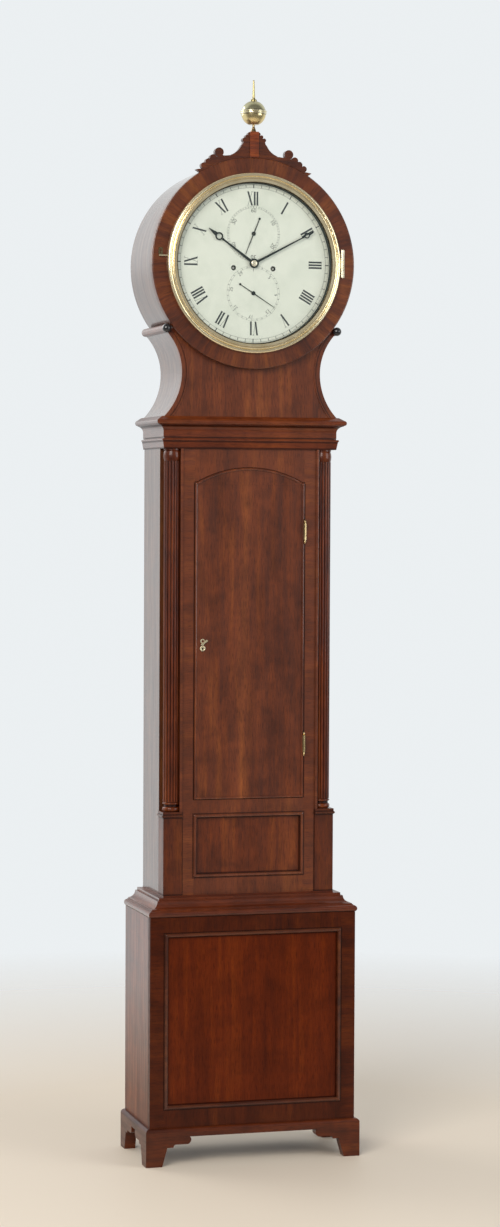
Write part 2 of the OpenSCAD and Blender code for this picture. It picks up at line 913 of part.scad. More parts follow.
module door_hinge_leaves() {
  color(brass)
    for (z = hinge_zs()) {
      mid_h = hinge_h / 3 - 2 * run_gap;
      difference() {
        union() {
          translate([hinge_x, back_y - hinge_d, z - mid_h / 2])
            cylinder(h = mid_h, r = knuckle_r, $fn = 48);
          slab(hinge_x - door_gap / 2 - leaf_t, hinge_x - door_gap / 2, frame_d - leaf_reach,
            hinge_d, z - mid_h / 2, z + mid_h / 2);
          slab(hinge_x - door_gap / 2 - leaf_t, hinge_x - door_gap / 2, frame_d - leaf_reach,
            frame_d - 0.5, z - hinge_h / 2, z + hinge_h / 2);
        }
        translate([hinge_x, back_y - hinge_d, z - hinge_h])
          cylinder(h = 2 * hinge_h, r = hinge_pin_r + pivot_clear, $fn = 48);
      }
    }
}

module lock_case() {
  color(brass)
    difference() {
      slab(lock_x0, lock_x0 + lock_w, door_back - lock_t, door_back,
        keyhole_at - lock_h / 2, keyhole_at + lock_h / 2);
      slab(lock_x0 - 1, lock_x0 + lock_w - 6, lock_d - bolt_t / 2 - bolt_gap, lock_d + bolt_t / 2 + bolt_gap,
        keyhole_at - bolt_h / 2 - bolt_gap, keyhole_at + bolt_h / 2 + bolt_gap);
    }
}

module lock_bolt() {
  color(steel)
    slab(lock_x0 + 0.5, lock_x0 + lock_w - 12, lock_d - bolt_t / 2, lock_d + bolt_t / 2,
      keyhole_at - bolt_h / 2, keyhole_at + bolt_h / 2);
}

// A plate like a figure of eight, with a ring round the keyhole and an open ring above the pivot
escutcheon_t = 1.2;
escutcheon_r = 5.4;
escutcheon_eye = 13.8;
cover_rise = 9;
cover_len = 11.4;
cover_turn = 126;
cover_pin_r = 1;

module escutcheon() {
  color(brass)
    translate([keyhole_x, 0, keyhole_at]) {
      difference() {
        sheet(frame_d, frame_d + escutcheon_t)
          union() {
            circle(r = escutcheon_r, $fn = 48);
            translate([0, escutcheon_eye])
              circle(r = 4.6, $fn = 48);
            translate([-2.2, 0])
              square([4.4, escutcheon_eye - 3]);
          }
        sheet(frame_d - 1, frame_d + escutcheon_t + 1) {
          keyhole_outline();
          translate([0, escutcheon_eye])
            circle(r = 2.4, $fn = 32);
        }
      }
      turned(0, 0, frame_d + escutcheon_t)
        translate([escutcheon_r - 1, 0])
          circle(r = 0.8, $fn = 24);
      bar(0, cover_rise, frame_d + escutcheon_t - eps, frame_d + escutcheon_t + 2.4, cover_pin_r);
    }
}

module escutcheon_cover() {
  color(brass)
    translate([keyhole_x, 0, keyhole_at + cover_rise])
      rotate([0, -cover_turn, 0])
        difference() {
          sheet(frame_d + escutcheon_t + 1.1, frame_d + escutcheon_t + 2.1)
            union() {
              circle(r = 2.4, $fn = 48);
              translate([-1.7, 2.2 - cover_len])
                square([3.4, cover_len + 1.8]);
              translate([0, 2.2 - cover_len])
                circle(r = 2.2, $fn = 48);
            }
          bar(0, 0, frame_d, frame_d + 8, cover_pin_r + pivot_clear);
        }
}

// Moulding that carries the hood: a cove under a rounded nose with a sloping top
hood_reach = 22;
hood_inner = board_t + 2;

module hood_base_section() {
  nose_r = 5;
  nose_z = hood_z + 29.5;
  cove_r = 12.5;
  union() {
    translate([-hood_inner, hood_z])
      square([hood_inner + 2.4, 24]);
    difference() {
      translate([0, hood_z + 11])
        square([hood_out - nose_r, 16]);
      translate([2.4 + cove_r, hood_z + 11])
        circle(r = cove_r);
    }
    translate([hood_out - nose_r, nose_z])
      circle(r = nose_r);
    translate([-hood_inner, hood_z + 23.5])
      square([hood_inner + hood_out - nose_r, 6]);
    polygon([[-hood_inner, nose_z - 1], [hood_out - nose_r, nose_z - 1],
      [hood_out - nose_r + 2, nose_z + nose_r * 0.9], [6, neck_z], [-hood_inner, neck_z]]);
  }
}

module hood_base_moulding() {
  color(mahogany) {
    mitred_front(trunk_hw, frame_d, hood_reach, hood_z, neck_z)
      hood_base_section();
    mitred_sides(trunk_hw, frame_d, hood_reach, hood_z, neck_z)
      hood_base_section();
  }
}

// Outline of the neck: two arcs a side, one down to the foot and one up to the head
neck_front_t = 12;

function arc_radius(rise, run) = (rise * rise + run * run) / (2 * run);

module neck_outline(inset) {
  low_r = arc_radius(waist_narrow_z, waist_foot_w / 2 - neck_hw);
  high_r = arc_radius(waist_h - waist_narrow_z, waist_head_w / 2 - neck_hw);
  half = max(waist_foot_w, waist_head_w) / 2;
  translate([0, neck_z])
    difference() {
      translate([-half, 0])
        square([2 * half, waist_h]);
      for (m = [0, 1])
        mirror([m, 0]) {
          intersection() {
            translate([neck_hw + low_r, waist_narrow_z])
              circle(r = low_r + inset, $fn = 180);
            translate([0, -1])
              square([2 * half, waist_narrow_z + 1]);
          }
          intersection() {
            translate([neck_hw + high_r, waist_narrow_z])
              circle(r = high_r + inset, $fn = 180);
            translate([0, waist_narrow_z])
              square([2 * half, waist_h - waist_narrow_z + 1]);
          }
        }
    }
}

ring_in = dial_r + 2;
ledge_in = sqrt(pow(drum_r - drum_wall, 2) - pow(dial_rise, 2)) - 1;

module neck_front() {
  color(mahogany)
    union() {
      sheet(waist_d - neck_front_t, waist_d)
        difference() {
          union() {
            neck_outline(0);
            translate([-ledge_in + 0.5, ledge_z - 1])
              square([2 * ledge_in - 1, ledge_t + 1]);
          }
          translate([0, dial_z])
            circle(r = ring_in, $fn = 180);
        }
      sheet(waist_d - eps, waist_d + 1.4)
        difference() {
          neck_outline(10);
          neck_outline(12);
          translate([0, dial_z])
            circle(r = ring_r + 0.5, $fn = 180);
        }
    }
}

module neck_sides() {
  color(mahogany)
    sheet(0, waist_d - neck_front_t)
      difference() {
        neck_outline(0);
        neck_outline(waist_t);
      }
}

ledge_bead_x = waist_head_w / 2 + 2.5;
bead_z = ledge_z + ledge_t;

module ledge_mouldings() {
  color(mahogany)
    both_sides() {
      slab(ledge_in, ledge_bead_x, 0, waist_d, ledge_z, bead_z);
      bar(ledge_bead_x, bead_z, 0, waist_d, ledge_bead_r);
    }
}

module bosses() {
  color(ebony)
    both_sides()
      turned(ledge_bead_x + 1.5, bead_z, waist_d)
        intersection() {
          union() {
            square([4.5, 4]);
            translate([0, boss_r - 2])
              circle(r = boss_r);
            translate([boss_r - 4.4, 1.6])
              circle(r = 1.6, $fn = 32);
          }
          square([boss_r + 1, 2 * boss_r]);
        }
}

module drum_shell() {
  color(mahogany)
    difference() {
      bar(0, dial_z, 0, waist_d, drum_r);
      bar(0, dial_z, -1, waist_d + 1, drum_r - drum_wall);
      slab(-drum_r, drum_r, -1, waist_d + 1, dial_z - drum_r - 1, bead_z);
    }
}

module drum_ring() {
  ease = 2.5;
  color(mahogany)
    turned(0, dial_z, waist_d)
      union() {
        translate([ring_in, 0])
          square([ring_r - ring_in - ease, ring_t]);
        translate([ring_in, 0])
          square([ring_r - ring_in, ring_t - ease]);
        translate([ring_r - ease, ring_t - ease])
          circle(r = ease, $fn = 32);
      }
}

// Fretted crest: scalloped steps and concave sweeps from a central block to a lobe and a wing
sweep_r = 36;
lobe_x = 69;
fret_r = 8.7;
crest_rise = 250;
crest_d = waist_d + crest_t / 2 + 0.5;

module crest_half() {
  foot = sqrt(pow(ring_r, 2) - pow(lobe_x, 2)) - 4;
  difference() {
    union() {
      translate([0, foot])
        square([lobe_x, ring_r + 3 - foot]);
      polygon([[0, ring_r], [0, crest_rise - 0.5], [7.5, crest_rise - 0.5], [10, crest_rise - 6],
        [15, crest_rise - 10], [21, crest_rise - 17], [22.6, crest_rise - 24], [46, ring_r + 5], [46, ring_r]]);
    }
    translate([lobe_x - 11.4, crest_rise - 11])
      circle(r = sweep_r, $fn = 96);
  }
  translate([9, crest_rise - 4.6])
    circle(r = 3.4, $fn = 48);
  translate([14.4, crest_rise - 9.6])
    circle(r = 3.4, $fn = 48);
  translate([19.6, crest_rise - 15.8])
    circle(r = 3.8, $fn = 48);
  translate([lobe_x, ring_r + 8.2])
    circle(r = fret_r);
  for (i = [0:2])
    translate([lobe_x + 12 + 9 * i, ring_r - 3 - 7.6 * i])
      circle(r = 6.6 - 0.4 * i, $fn = 48);
  polygon([[lobe_x, ring_r + 2], [lobe_x + 30, ring_r - 18], [lobe_x + 26, ring_r - 34],
    [lobe_x - 6, ring_r - 14]]);
  polygon([[lobe_x + 26, ring_r - 22.5], [lobe_x + 45.5, ring_r - 26], [lobe_x + 40, ring_r - 30],
    [lobe_x + 26, ring_r - 34]]);
}

module crest() {
  color(mahogany)
    union() {
      translate([0, 0, dial_z])
        sheet(crest_d - crest_t / 2, crest_d + crest_t / 2)
          difference() {
            union() {
              crest_half();
              mirror([1, 0])
                crest_half();
            }
            circle(r = ring_r + seat_gap / 2, $fn = 180);
          }
      slab(-8.6, 8.6, crest_d - 8, crest_d + 8, dial_z + ring_r + 0.6, dial_z + crest_rise);
    }
}

finial_z = dial_z + crest_rise;

module finial() {
  neck_h = 14;
  ball_z = neck_h + ball_r - 2;
  band_rise = 1.5;
  color(brass)
    translate([0, back_y - crest_d, finial_z])
      rotate_extrude()
        union() {
          polygon([[0, 0], [5.6, 0], [4.8, 3], [2.5, 9.5], [0, 9.5]]);
          square([2.4, neck_h + 1]);
          intersection() {
            translate([0, ball_z])
              circle(r = ball_r, $fn = 120);
            translate([0, neck_h])
              square([ball_r, 2 * ball_r - 4]);
          }
          for (dz = [-1.8, 1.8])
            translate([ball_r + 0.3, ball_z + band_rise + dz])
              circle(r = 1.4, $fn = 24);
          translate([0, ball_z + ball_r - 2.4])
            square([6, 3.4]);
          translate([4.4, ball_z + ball_r + 1.2])
            circle(r = 1.6, $fn = 24);
          polygon([[0, ball_z + ball_r], [3.4, ball_z + ball_r + 2], [2.6, ball_z + ball_r + 6],
            [1.5, ball_z + ball_r + spike_h - 1], [0.9, ball_z + ball_r + spike_h],
            [0, ball_z + ball_r + spike_h]]);
        }
}

// Fittings of the bezel on the drum's ring: the fixed half of its hinge and a keyhole plate
bezel_axis_x = bezel_r + 3.8;
bezel_axis_d = ring_d + 3.2;
bezel_hinge_h = 53;
bezel_hinge_z = dial_z + 3.5;
bezel_knuckle_r = 2.5;
bezel_pin_r = 1.2;

module bezel_fittings() {
  end_h = bezel_hinge_h / 3;
  low = bezel_hinge_z - bezel_hinge_h / 2;
  color(brass) {
    for (z0 = [low, low + 2 * end_h])
      translate([bezel_axis_x, back_y - bezel_axis_d, z0])
        cylinder(h = end_h, r = bezel_knuckle_r, $fn = 48);
    translate([bezel_axis_x, back_y - bezel_axis_d, low])
      cylinder(h = bezel_hinge_h, r = bezel_pin_r, $fn = 48);
    for (z0 = [low, low + 2 * end_h])
      slab(bezel_axis_x, bezel_axis_x + 2.4, ring_d, bezel_axis_d, z0, z0 + end_h);
    slab(bezel_axis_x, bezel_axis_x + 5.5, ring_d, ring_d + 0.5, low, low + bezel_hinge_h);
    difference() {
      slab(-bezel_r - 16.8, -bezel_r - 9.2, ring_d, ring_d + 1.1, dial_z + 12.4, dial_z + 25);
      translate([-bezel_r - 13, 0, dial_z + 20])
        sheet(ring_d - 1, ring_d + 3)
          keyhole_outline();
    }
  }
}

module bezel_section() {
  union() {
    translate([glass_r + 0.3, 0])
      square([bezel_r - glass_r - 3, 3.4]);
    translate([bezel_r - 4, 4])
      circle(r = 4, $fn = 48);
    translate([bezel_r - 10.6, 4.6])
      circle(r = 3.4, $fn = 48);
    translate([glass_r + 0.3, 0])
      square([4, bezel_h - 1.6]);
    translate([sight_r + 1, bezel_h - 2.1])
      square([glass_r - sight_r + 2, 2]);
    translate([sight_r + 1, bezel_h - 1.1])
      circle(r = 1, $fn = 32);
  }
}

glass_r = sight_r + 4;

module bezel() {
  mid_h = bezel_hinge_h / 3 - 2 * run_gap;
  low = bezel_hinge_z - mid_h / 2;
  color(brass)
    difference() {
      union() {
        turned(0, dial_z, ring_d + run_gap)
          bezel_section();
        translate([bezel_axis_x, back_y - bezel_axis_d, low])
          cylinder(h = mid_h, r = bezel_knuckle_r, $fn = 48);
        slab(bezel_r - 4, bezel_axis_x, bezel_axis_d - 0.6, bezel_axis_d + 0.6, low, low + mid_h);
        slab(-bezel_r - 17, -bezel_r + 11, ring_d + run_gap + 2.6, ring_d + run_gap + 5,
          dial_z + 8.8, dial_z + 11.4);
      }
      translate([bezel_axis_x, back_y - bezel_axis_d, low - 1])
        cylinder(h = mid_h + 2, r = bezel_pin_r + pivot_clear, $fn = 48);
    }
}

module glass() {
  color("#dfe8e8", 0.3)
    bar(0, dial_z, glass_d, glass_d + glass_t, glass_r);
}

// Gear outline with pointed teeth. Teeth stand at angle zero and at equal steps from there.
function tooth_angle(width, r) = width / r / 2 * 180 / PI;

module gear_outline(n, m, add, root_w, tip_w) {
  r = n * m / 2;
  root = r - 1.3 * m;
  tip = r + add * m;
  a_root = tooth_angle(root_w * m, root);
  a_tip = tooth_angle(tip_w * m, tip);
  polygon([for (i = [0:n - 1])
    for (p = [[root, -a_root], [tip, -a_tip], [tip, a_tip], [root, a_root]])
      [p[0] * cos(360 * i / n + p[1]), p[0] * sin(360 * i / n + p[1])]]);
}

// A wheel with four crossings
module wheel_outline(n, m) {
  rim = n * m / 2 - 1.3 * m - 2.6;
  difference() {
    gear_outline(n, m, 0.9, 1.5, 0.5);
    difference() {
      circle(r = rim);
      circle(r = 5.5);
      for (a = [0, 90])
        rotate(a)
          square([2 * rim, 3], center = true);
    }
  }
}

module pinion_outline(n, m) {
  gear_outline(n, m, 0.6, 0.9, 0.5);
}

// Angle from one arbor to another, seen from the front
function bearing(x0, z0, x1, z1) = atan2(z1 - z0, x1 - x0);

module at(x, z) {
  translate([x, 0, z])
    children();
}

plate_back_front = plate_back_d + plate_t;
plate_front_face = front_plate_d + plate_t;
pillar_x = plate_w / 2 - 8;
pillar_low = dial_z - plate_low + 9;
pillar_high = dial_z + plate_high - 10;
hammer_x = -48;
hammer_z = dial_z + 70;
barrel_arbor_r = 3;
cannon_r = 2.5;
pipe_r = 3.8;
date_z = dial_z - subdial_off;
stud_r = 1.2;

module plate_outline() {
  translate([-plate_w / 2, dial_z - plate_low])
    square([plate_w, plate_low + plate_high]);
}

// Pivot holes that both plates share
module plate_holes(d0, d1) {
  bar(third_x, third_z, d0, d1, pivot_r + pivot_clear);
  bar(hammer_x, hammer_z, d0, d1, pivot_r + pivot_clear);
  for (s = [-1, 1])
    bar(s * winding_x, winding_z, d0, d1, barrel_arbor_r + pivot_clear);
}

module plate_front() {
  color(brass)
    union() {
      difference() {
        sheet(front_plate_d, plate_front_face)
          plate_outline();
        plate_holes(front_plate_d - 1, plate_front_face + 1);
        bar(0, dial_z, front_plate_d - 1, plate_front_face + 1, 2 + pivot_clear);
        bar(0, escape_z, front_plate_d - 1, plate_front_face + 1, pivot_r + pivot_clear);
        bar(0, pallet_z, front_plate_d - 1, plate_front_face + 1, pivot_r + pivot_clear);
        bar(0, date_z, front_plate_d - 1, plate_front_face + 1, pivot_r + pivot_clear);
      }
      bar(0, dial_z - motion_dist, plate_front_face - eps, motion_d + 7, stud_r);
    }
}

// The back plate with its four turned pillars
module plate_back() {
  color(brass)
    union() {
      difference() {
        sheet(plate_back_d, plate_back_front)
          plate_outline();
        plate_holes(plate_back_d - 1, plate_back_front + 1);
        bar(0, dial_z, plate_back_d - 1, plate_back_front + 1, pivot_r + pivot_clear);
        bar(0, escape_z, plate_back_d - 1, plate_back_front + 1, pivot_r + pivot_clear);
        bar(0, pallet_z, plate_back_d - 1, plate_back_front + 1, 4);
      }
      for (x = [-pillar_x, pillar_x])
        for (z = [pillar_low, pillar_high])
          turned(x, z, plate_back_front - eps)
            union() {
              square([3.2, plate_gap]);
              square([5, 3]);
              translate([0, plate_gap - 3])
                square([5, 3 - eps]);
              translate([0, plate_gap / 2])
                intersection() {
                  translate([-1, 0])
                    circle(r = 6.4, $fn = 48);
                  translate([0, -7])
                    square([7, 14]);
                }
            }
    }
}

cock_x = 20;
cock_web_d = pendulum_d + 5;

module back_cock() {
  low = pallet_z - 7;
  high = pallet_z + 13;
  color(brass)
    difference() {
      union() {
        slab(-cock_x, cock_x, cock_web_d, cock_web_d + 3, low, high);
        both_sides()
          slab(cock_x - 4, cock_x, cock_web_d, plate_back_d, low, high);
        slab(-6, 6, pendulum_d - 4, cock_web_d + eps, pallet_z + 3, high);
      }
      bar(0, pallet_z, cock_web_d - 1, cock_web_d + 4, pivot_r + pivot_clear);
    }
}

module dial() {
  color("#e3e8e2")
    union() {
      difference() {
        bar(0, dial_z, dial_face - dial_t, dial_face, dial_r);
        bar(0, dial_z, dial_face - 3, dial_face + 1, pipe_r + 1);
        bar(0, escape_z, dial_face - 3, dial_face + 1, 1.8);
        bar(0, date_z, dial_face - 3, dial_face + 1, pivot_r + pivot_clear);
        for (s = [-1, 1])
          bar(s * winding_x, winding_z, dial_face - 3, dial_face + 1, winding_hole_r);
      }
      for (x = [-pillar_x, pillar_x])
        for (z = [pillar_low, pillar_high])
          bar(x, z, plate_front_face, dial_face - dial_t + eps, 3);
    }
}

bell_z = dial_z + plate_high + 6;
bell_d = plate_back_d + bell_r + 1.5;
bell_wall = 2;

// Bell on its standard, which rises behind the back plate and bends over to the crown
module bell() {
  color(brass)
    union() {
      translate([0, back_y - bell_d, bell_z])
        rotate_extrude()
          difference() {
            intersection() {
              circle(r = bell_r);
              square(bell_r + 1);
            }
            circle(r = bell_r - bell_wall);
          }
      slab(-5, 5, plate_back_d - 4, plate_back_d, pallet_z + 5, bell_z + bell_r + 3);
      slab(-5, 5, plate_back_d - 4, bell_d + 5, bell_z + bell_r, bell_z + bell_r + 3);
      translate([0, back_y - bell_d, bell_z + bell_r - bell_wall])
        cylinder(h = 8, r = 3, $fn = 48);
    }
}

module hammer() {
  arm_d = bell_d - 2;
  head_z = bell_z + 5;
  color(steel)
    union() {
      bar(hammer_x, hammer_z, plate_back_d, plate_front_face, pivot_r);
      bar(hammer_x, hammer_z, plate_back_front + 0.5, front_plate_d - 0.5, arbor_r);
      slab(hammer_x - 1.5, hammer_x + 1.5, arm_d, arm_d + 4, hammer_z, head_z);
      translate([hammer_x - 5.5, back_y - arm_d - 2, head_z + 2])
        rotate([0, 90, 0])
          cylinder(h = 10, r = 4.5, $fn = 48);
    }
}

// Centre arbor: pinion driven by the great wheel, centre wheel, and the pipe that carries the minute hand
module centre_wheel() {
  color(brass)
    at(0, dial_z) {
      bar(0, 0, plate_back_d, plate_back_front + 1, pivot_r);
      bar(0, 0, plate_back_front + 0.5, front_plate_d - 0.5, arbor_r);
      bar(0, 0, front_plate_d - 1, plate_front_face + 0.5, 2);
      bar(0, 0, plate_front_face + 0.5, minute_d + hand_t + 1.2, cannon_r);
      bar(0, 0, minute_d + hand_t, minute_d + hand_t + 1.2, cannon_r + 1.6);
      sheet(great_d - 2, great_d + 5)
        rotate(bearing(0, dial_z, winding_x, winding_z) + 180 / pinion_n)
          pinion_outline(pinion_n, great_m);
      sheet(centre_wheel_d, centre_wheel_d + wheel_t)
        rotate(bearing(0, dial_z, third_x, third_z))
          wheel_outline(centre_n, train_m);
      sheet(motion_d, motion_d + wheel_t)
        rotate(-90)
          gear_outline(motion_n, motion_m, 0.7, 1.4, 0.5);
    }
}

// Hands are sheet steel with a pierced ring before the pointed tip
module hand_outline(length, hub, wide, ring_at, ring_out, ring_hole) {
  difference() {
    union() {
      circle(r = hub, $fn = 64);
      polygon([[-wide, 0], [wide, 0], [wide * 0.45, ring_at], [-wide * 0.45, ring_at]]);
      translate([0, ring_at])
        circle(r = ring_out, $fn = 64);
      translate([0, ring_at - ring_out - 2])
        circle(r = wide * 0.8, $fn = 48);
      polygon([[-ring_out * 0.55, ring_at + ring_out * 0.7], [ring_out * 0.55, ring_at + ring_out * 0.7],
        [0.5, length], [-0.5, length]]);
    }
    translate([0, ring_at])
      circle(r = ring_hole, $fn = 48);
  }
}

module minute_hand() {
  color(blued)
    at(0, dial_z)
      sheet(minute_d, minute_d + hand_t)
        rotate(-minute_angle)
          difference() {
            hand_outline(minute_len, 7, 2.4, minute_len - 16, 5.6, 3.5);
            circle(r = cannon_r + 0.02);
          }
}

module hour_hand() {
  color(blued)
    at(0, dial_z)
      sheet(hour_d, hour_d + hand_t)
        rotate(-hour_angle)
          difference() {
            hand_outline(hour_len, 8.6, 2.8, hour_len - 25, 7.6, 5);
            circle(r = pipe_r + 0.02);
          }
}

module minute_wheel() {
  color(brass)
    at(0, dial_z - motion_dist)
      difference() {
        union() {
          sheet(motion_d, motion_d + wheel_t)
            rotate(90 + 180 / motion_n)
              gear_outline(motion_n, motion_m, 0.7, 1.4, 0.5);
          sheet(motion_d + wheel_t - eps, motion_d + 6.4)
            rotate(90 + 180 / hour_pinion_n)
              pinion_outline(hour_pinion_n, hour_m);
        }
        bar(0, 0, motion_d - 1, motion_d + 8, stud_r + pivot_clear);
      }
}

hour_wheel_d = motion_d + wheel_t + 1.4;

module hour_wheel() {
  color(brass)
    at(0, dial_z)
      difference() {
        union() {
          sheet(hour_wheel_d, hour_wheel_d + wheel_t)
            rotate(-90)
              wheel_outline(hour_n, hour_m);
          bar(0, 0, hour_wheel_d, hour_d + hand_t + 0.6, pipe_r);
        }
        bar(0, 0, hour_wheel_d - 1, hour_d + 8, cannon_r + pivot_clear);
      }
}

module third_wheel() {
  color(brass)
    at(third_x, third_z) {
      bar(0, 0, plate_back_d, plate_front_face, pivot_r);
      bar(0, 0, plate_back_front + 0.5, front_plate_d - 0.5, arbor_r);
      sheet(centre_wheel_d - 2, centre_wheel_d + 4)
        rotate(bearing(third_x, third_z, 0, dial_z) + 180 / pinion_n)
          pinion_outline(pinion_n, train_m);
      sheet(third_wheel_d, third_wheel_d + wheel_t)
        rotate(bearing(third_x, third_z, 0, escape_z))
          wheel_outline(third_n, train2_m);
    }
}

module escape_wheel() {
  root = escape_r - 3;
  color(brass)
    at(0, escape_z) {
      bar(0, 0, plate_back_d, dial_face - 3, pivot_r);
      bar(0, 0, plate_back_front + 0.5, front_plate_d - 0.5, arbor_r);
      bar(0, 0, dial_face - 3 - eps, small_d + hand_t + 0.5, 0.8);
      sheet(third_wheel_d - 2, third_wheel_d + 3.5)
        rotate(bearing(0, escape_z, third_x, third_z) + 180 / pinion_n)
          pinion_outline(pinion_n, train2_m);
      sheet(escape_wheel_d, escape_wheel_d + wheel_t)
        difference() {
          polygon([for (i = [0:escape_n - 1])
            for (p = [[root, 0], [escape_r, 0.5], [escape_r, 1.5], [root, 8]])
              [p[0] * cos(360 * i / escape_n + p[1]), p[0] * sin(360 * i / escape_n + p[1])]]);
          difference() {
            circle(r = root - 2);
            circle(r = 4);
            for (a = [0, 90])
              rotate(a)
                square([2 * root, 2.2], center = true);
          }
        }
    }
}

module small_hand(length, angle) {
  rotate(-angle)
    union() {
      circle(r = 4, $fn = 48);
      polygon([[-0.6, -small_tail], [0.6, -small_tail], [1, 0], [0.4, length], [-0.4, length], [-1, 0]]);
      translate([0, -small_tail])
        circle(r = 2.1, $fn = 48);
    }
}

module seconds_hand() {
  color(blued)
    at(0, escape_z)
      sheet(small_d, small_d + hand_t * 0.7)
        difference() {
          small_hand(seconds_len, seconds_angle);
          circle(r = 0.82, $fn = 32);
        }
}

// Date hand on its arbor, with the toothed wheel that is moved on once a day
module date_hand() {
  days = 31;
  wheel_r = 13;
  color(blued)
    at(0, date_z) {
      bar(0, 0, front_plate_d + 0.5, small_d + hand_t * 0.7, pivot_r);
      sheet(small_d, small_d + hand_t * 0.7)
        small_hand(date_len, date_angle);
      sheet(plate_front_face + 8, plate_front_face + 9.5)
        polygon([for (i = [0:days - 1])
          for (p = [[wheel_r - 2, 0], [wheel_r, 0.8], [wheel_r - 1.9, 10]])
            [p[0] * cos(360 * i / days + p[1]), p[0] * sin(360 * i / days + p[1])]]);
    }
}

module time_great_wheel() {
  color(brass)
    at(winding_x, winding_z)
      sheet(great_d, great_d + wheel_t)
        rotate(bearing(winding_x, winding_z, 0, dial_z))
          difference() {
            wheel_outline(great_n, great_m);
            circle(r = barrel_arbor_r + pivot_clear);
          }
}

// Grooved barrel on its arbor, with the ratchet that lets it be wound and the square for the key
module barrel_body() {
  cap_r = barrel_r + 3;
  ratchet_n = 24;
  at(winding_x, winding_z) {
    bar(0, 0, plate_back_d, plate_front_face + 10, barrel_arbor_r);
    sheet(plate_front_face + 10 - eps, dial_face - 3)
      square(2 * barrel_arbor_r * 0.7, center = true);
    turned(0, 0, barrel_d)
      difference() {
        union() {
          square([barrel_r, barrel_len]);
          square([cap_r, 2]);
          translate([0, barrel_len - 2])
            square([cap_r, 2]);
        }
        for (i = [0:barrel_turns - 1])
          translate([barrel_r + gut_r * 0.4, 6 + 2 * gut_r * (i + 0.5)])
            circle(r = gut_r, $fn = 24);
      }
    sheet(barrel_d - 2, barrel_d + eps)
      polygon([for (i = [0:ratchet_n - 1])
        for (p = [[10, 0], [12, 1.5], [10, 12]])
          [p[0] * cos(360 * i / ratchet_n + p[1]), p[0] * sin(360 * i / ratchet_n + p[1])]]);
  }
}

module time_barrel() {
  color(brass)
    barrel_body();
}

strike_n = 84;

module strike_barrel() {
  color(brass)
    mirror([1, 0, 0])
      union() {
        barrel_body();
        at(winding_x, winding_z)
          sheet(great_d, barrel_d - 2 + eps)
            circle(r = 6);
        at(winding_x, winding_z)
          sheet(great_d, great_d + wheel_t)
            wheel_outline(strike_n, great_m);
      }
}

// Anchor that spans the escape wheel, on the arbor that carries the crutch behind the plates
anchor_clear = 1.4;
rod_r = 2.5;
crutch_len = 118;
crutch_d = pendulum_d + 10;

module pallets() {
  inner = escape_r + anchor_clear;
  color(steel)
    union() {
      bar(0, pallet_z, cock_web_d, plate_back_d, pivot_r);
      bar(0, pallet_z, cock_web_d + 3.5, front_plate_d - 0.5, arbor_r);
      bar(0, pallet_z, front_plate_d - 1, plate_front_face, pivot_r);
      sheet(escape_wheel_d, escape_wheel_d + wheel_t)
        union() {
          translate([0, escape_z])
            intersection() {
              difference() {
                circle(r = inner + 3.4);
                circle(r = inner);
              }
              polygon([[0, 0], [40, 34], [40, 60], [-40, 60], [-40, 34]]);
            }
          translate([0, pallet_z])
            circle(r = 4.5);
        }
      slab(-1.5, 1.5, crutch_d, crutch_d + 2, pallet_z - crutch_len, pallet_z + 1);
      bar(0, pallet_z, crutch_d, crutch_d + 2, 3.5);
      slab(-rod_r - 1.9, rod_r + 1.9, crutch_d, crutch_d + 2, pallet_z - crutch_len, pallet_z - crutch_len + 4);
      both_sides()
        slab(rod_r + 0.3, rod_r + 1.9, pendulum_d - 4, crutch_d + eps,
          pallet_z - crutch_len, pallet_z - crutch_len + 4);
    }
}

spring_len = 22;
bob_z = pallet_z - pendulum_len;

module pendulum_rod() {
  color(steel)
    translate([0, back_y - pendulum_d, 0]) {
      translate([-0.25, -3, pallet_z - spring_len])
        cube([0.5, 6, spring_len + 2.7]);
      translate([0, 0, bob_z - bob_r - 30])
        cylinder(h = pendulum_len + bob_r + 30 - spring_len + 3, r = rod_r, $fn = 48);
      translate([0, 0, bob_z - bob_r - 12])
        cylinder(h = 6, r = 6, $fn = 8);
    }
}

// Lens shaped bob
module pendulum_bob() {
  lens_r = arc_radius(bob_r, bob_t / 2);
  color(brass)
    difference() {
      turned(0, bob_z, pendulum_d)
        intersection() {
          translate([0, bob_t / 2 - lens_r])
            circle(r = lens_r, $fn = 180);
          translate([0, lens_r - bob_t / 2])
            circle(r = lens_r, $fn = 180);
          translate([0, -bob_t])
            square([bob_r, 2 * bob_t]);
        }
      translate([0, back_y - pendulum_d, bob_z - bob_r - 1])
        cylinder(h = 2 * bob_r + 2, r = rod_r + 0.02, $fn = 48);
    }
}

// Weight with its hook, the stirrup and the grooved pulley
module weight_body() {
  stirrup_d = 4.6;
  ease = 4;
  translate([weight_x, back_y - line_d, weight_z])
    rotate_extrude()
      union() {
        square([weight_r - ease, weight_h]);
        translate([0, ease])
          square([weight_r, weight_h - 2 * ease]);
        for (z = [ease, weight_h - ease])
          translate([weight_r - ease, z])
            circle(r = ease, $fn = 48);
        square([3, weight_h + 12]);
      }
  for (side = [-1, 1])
    slab(weight_x - 4, weight_x + 4, line_d + side * stirrup_d - 0.8, line_d + side * stirrup_d + 0.8,
      weight_z + weight_h + 12, pulley_z + 5);
  slab(weight_x - 4, weight_x + 4, line_d - stirrup_d - 0.8, line_d + stirrup_d + 0.8,
    weight_z + weight_h + 10, weight_z + weight_h + 13);
  bar(weight_x, pulley_z, line_d - stirrup_d - 1.5, line_d + stirrup_d + 1.5, arbor_r);
  turned(weight_x, pulley_z, line_d - 3)
    difference() {
      translate([arbor_r + pivot_clear, 0])
        square([pulley_r - pivot_clear, 6]);
      translate([pulley_r + 1.1, 3])
        circle(r = 1.5, $fn = 32);
    }
}

module time_weight() {
  color(steel)
    weight_body();
}

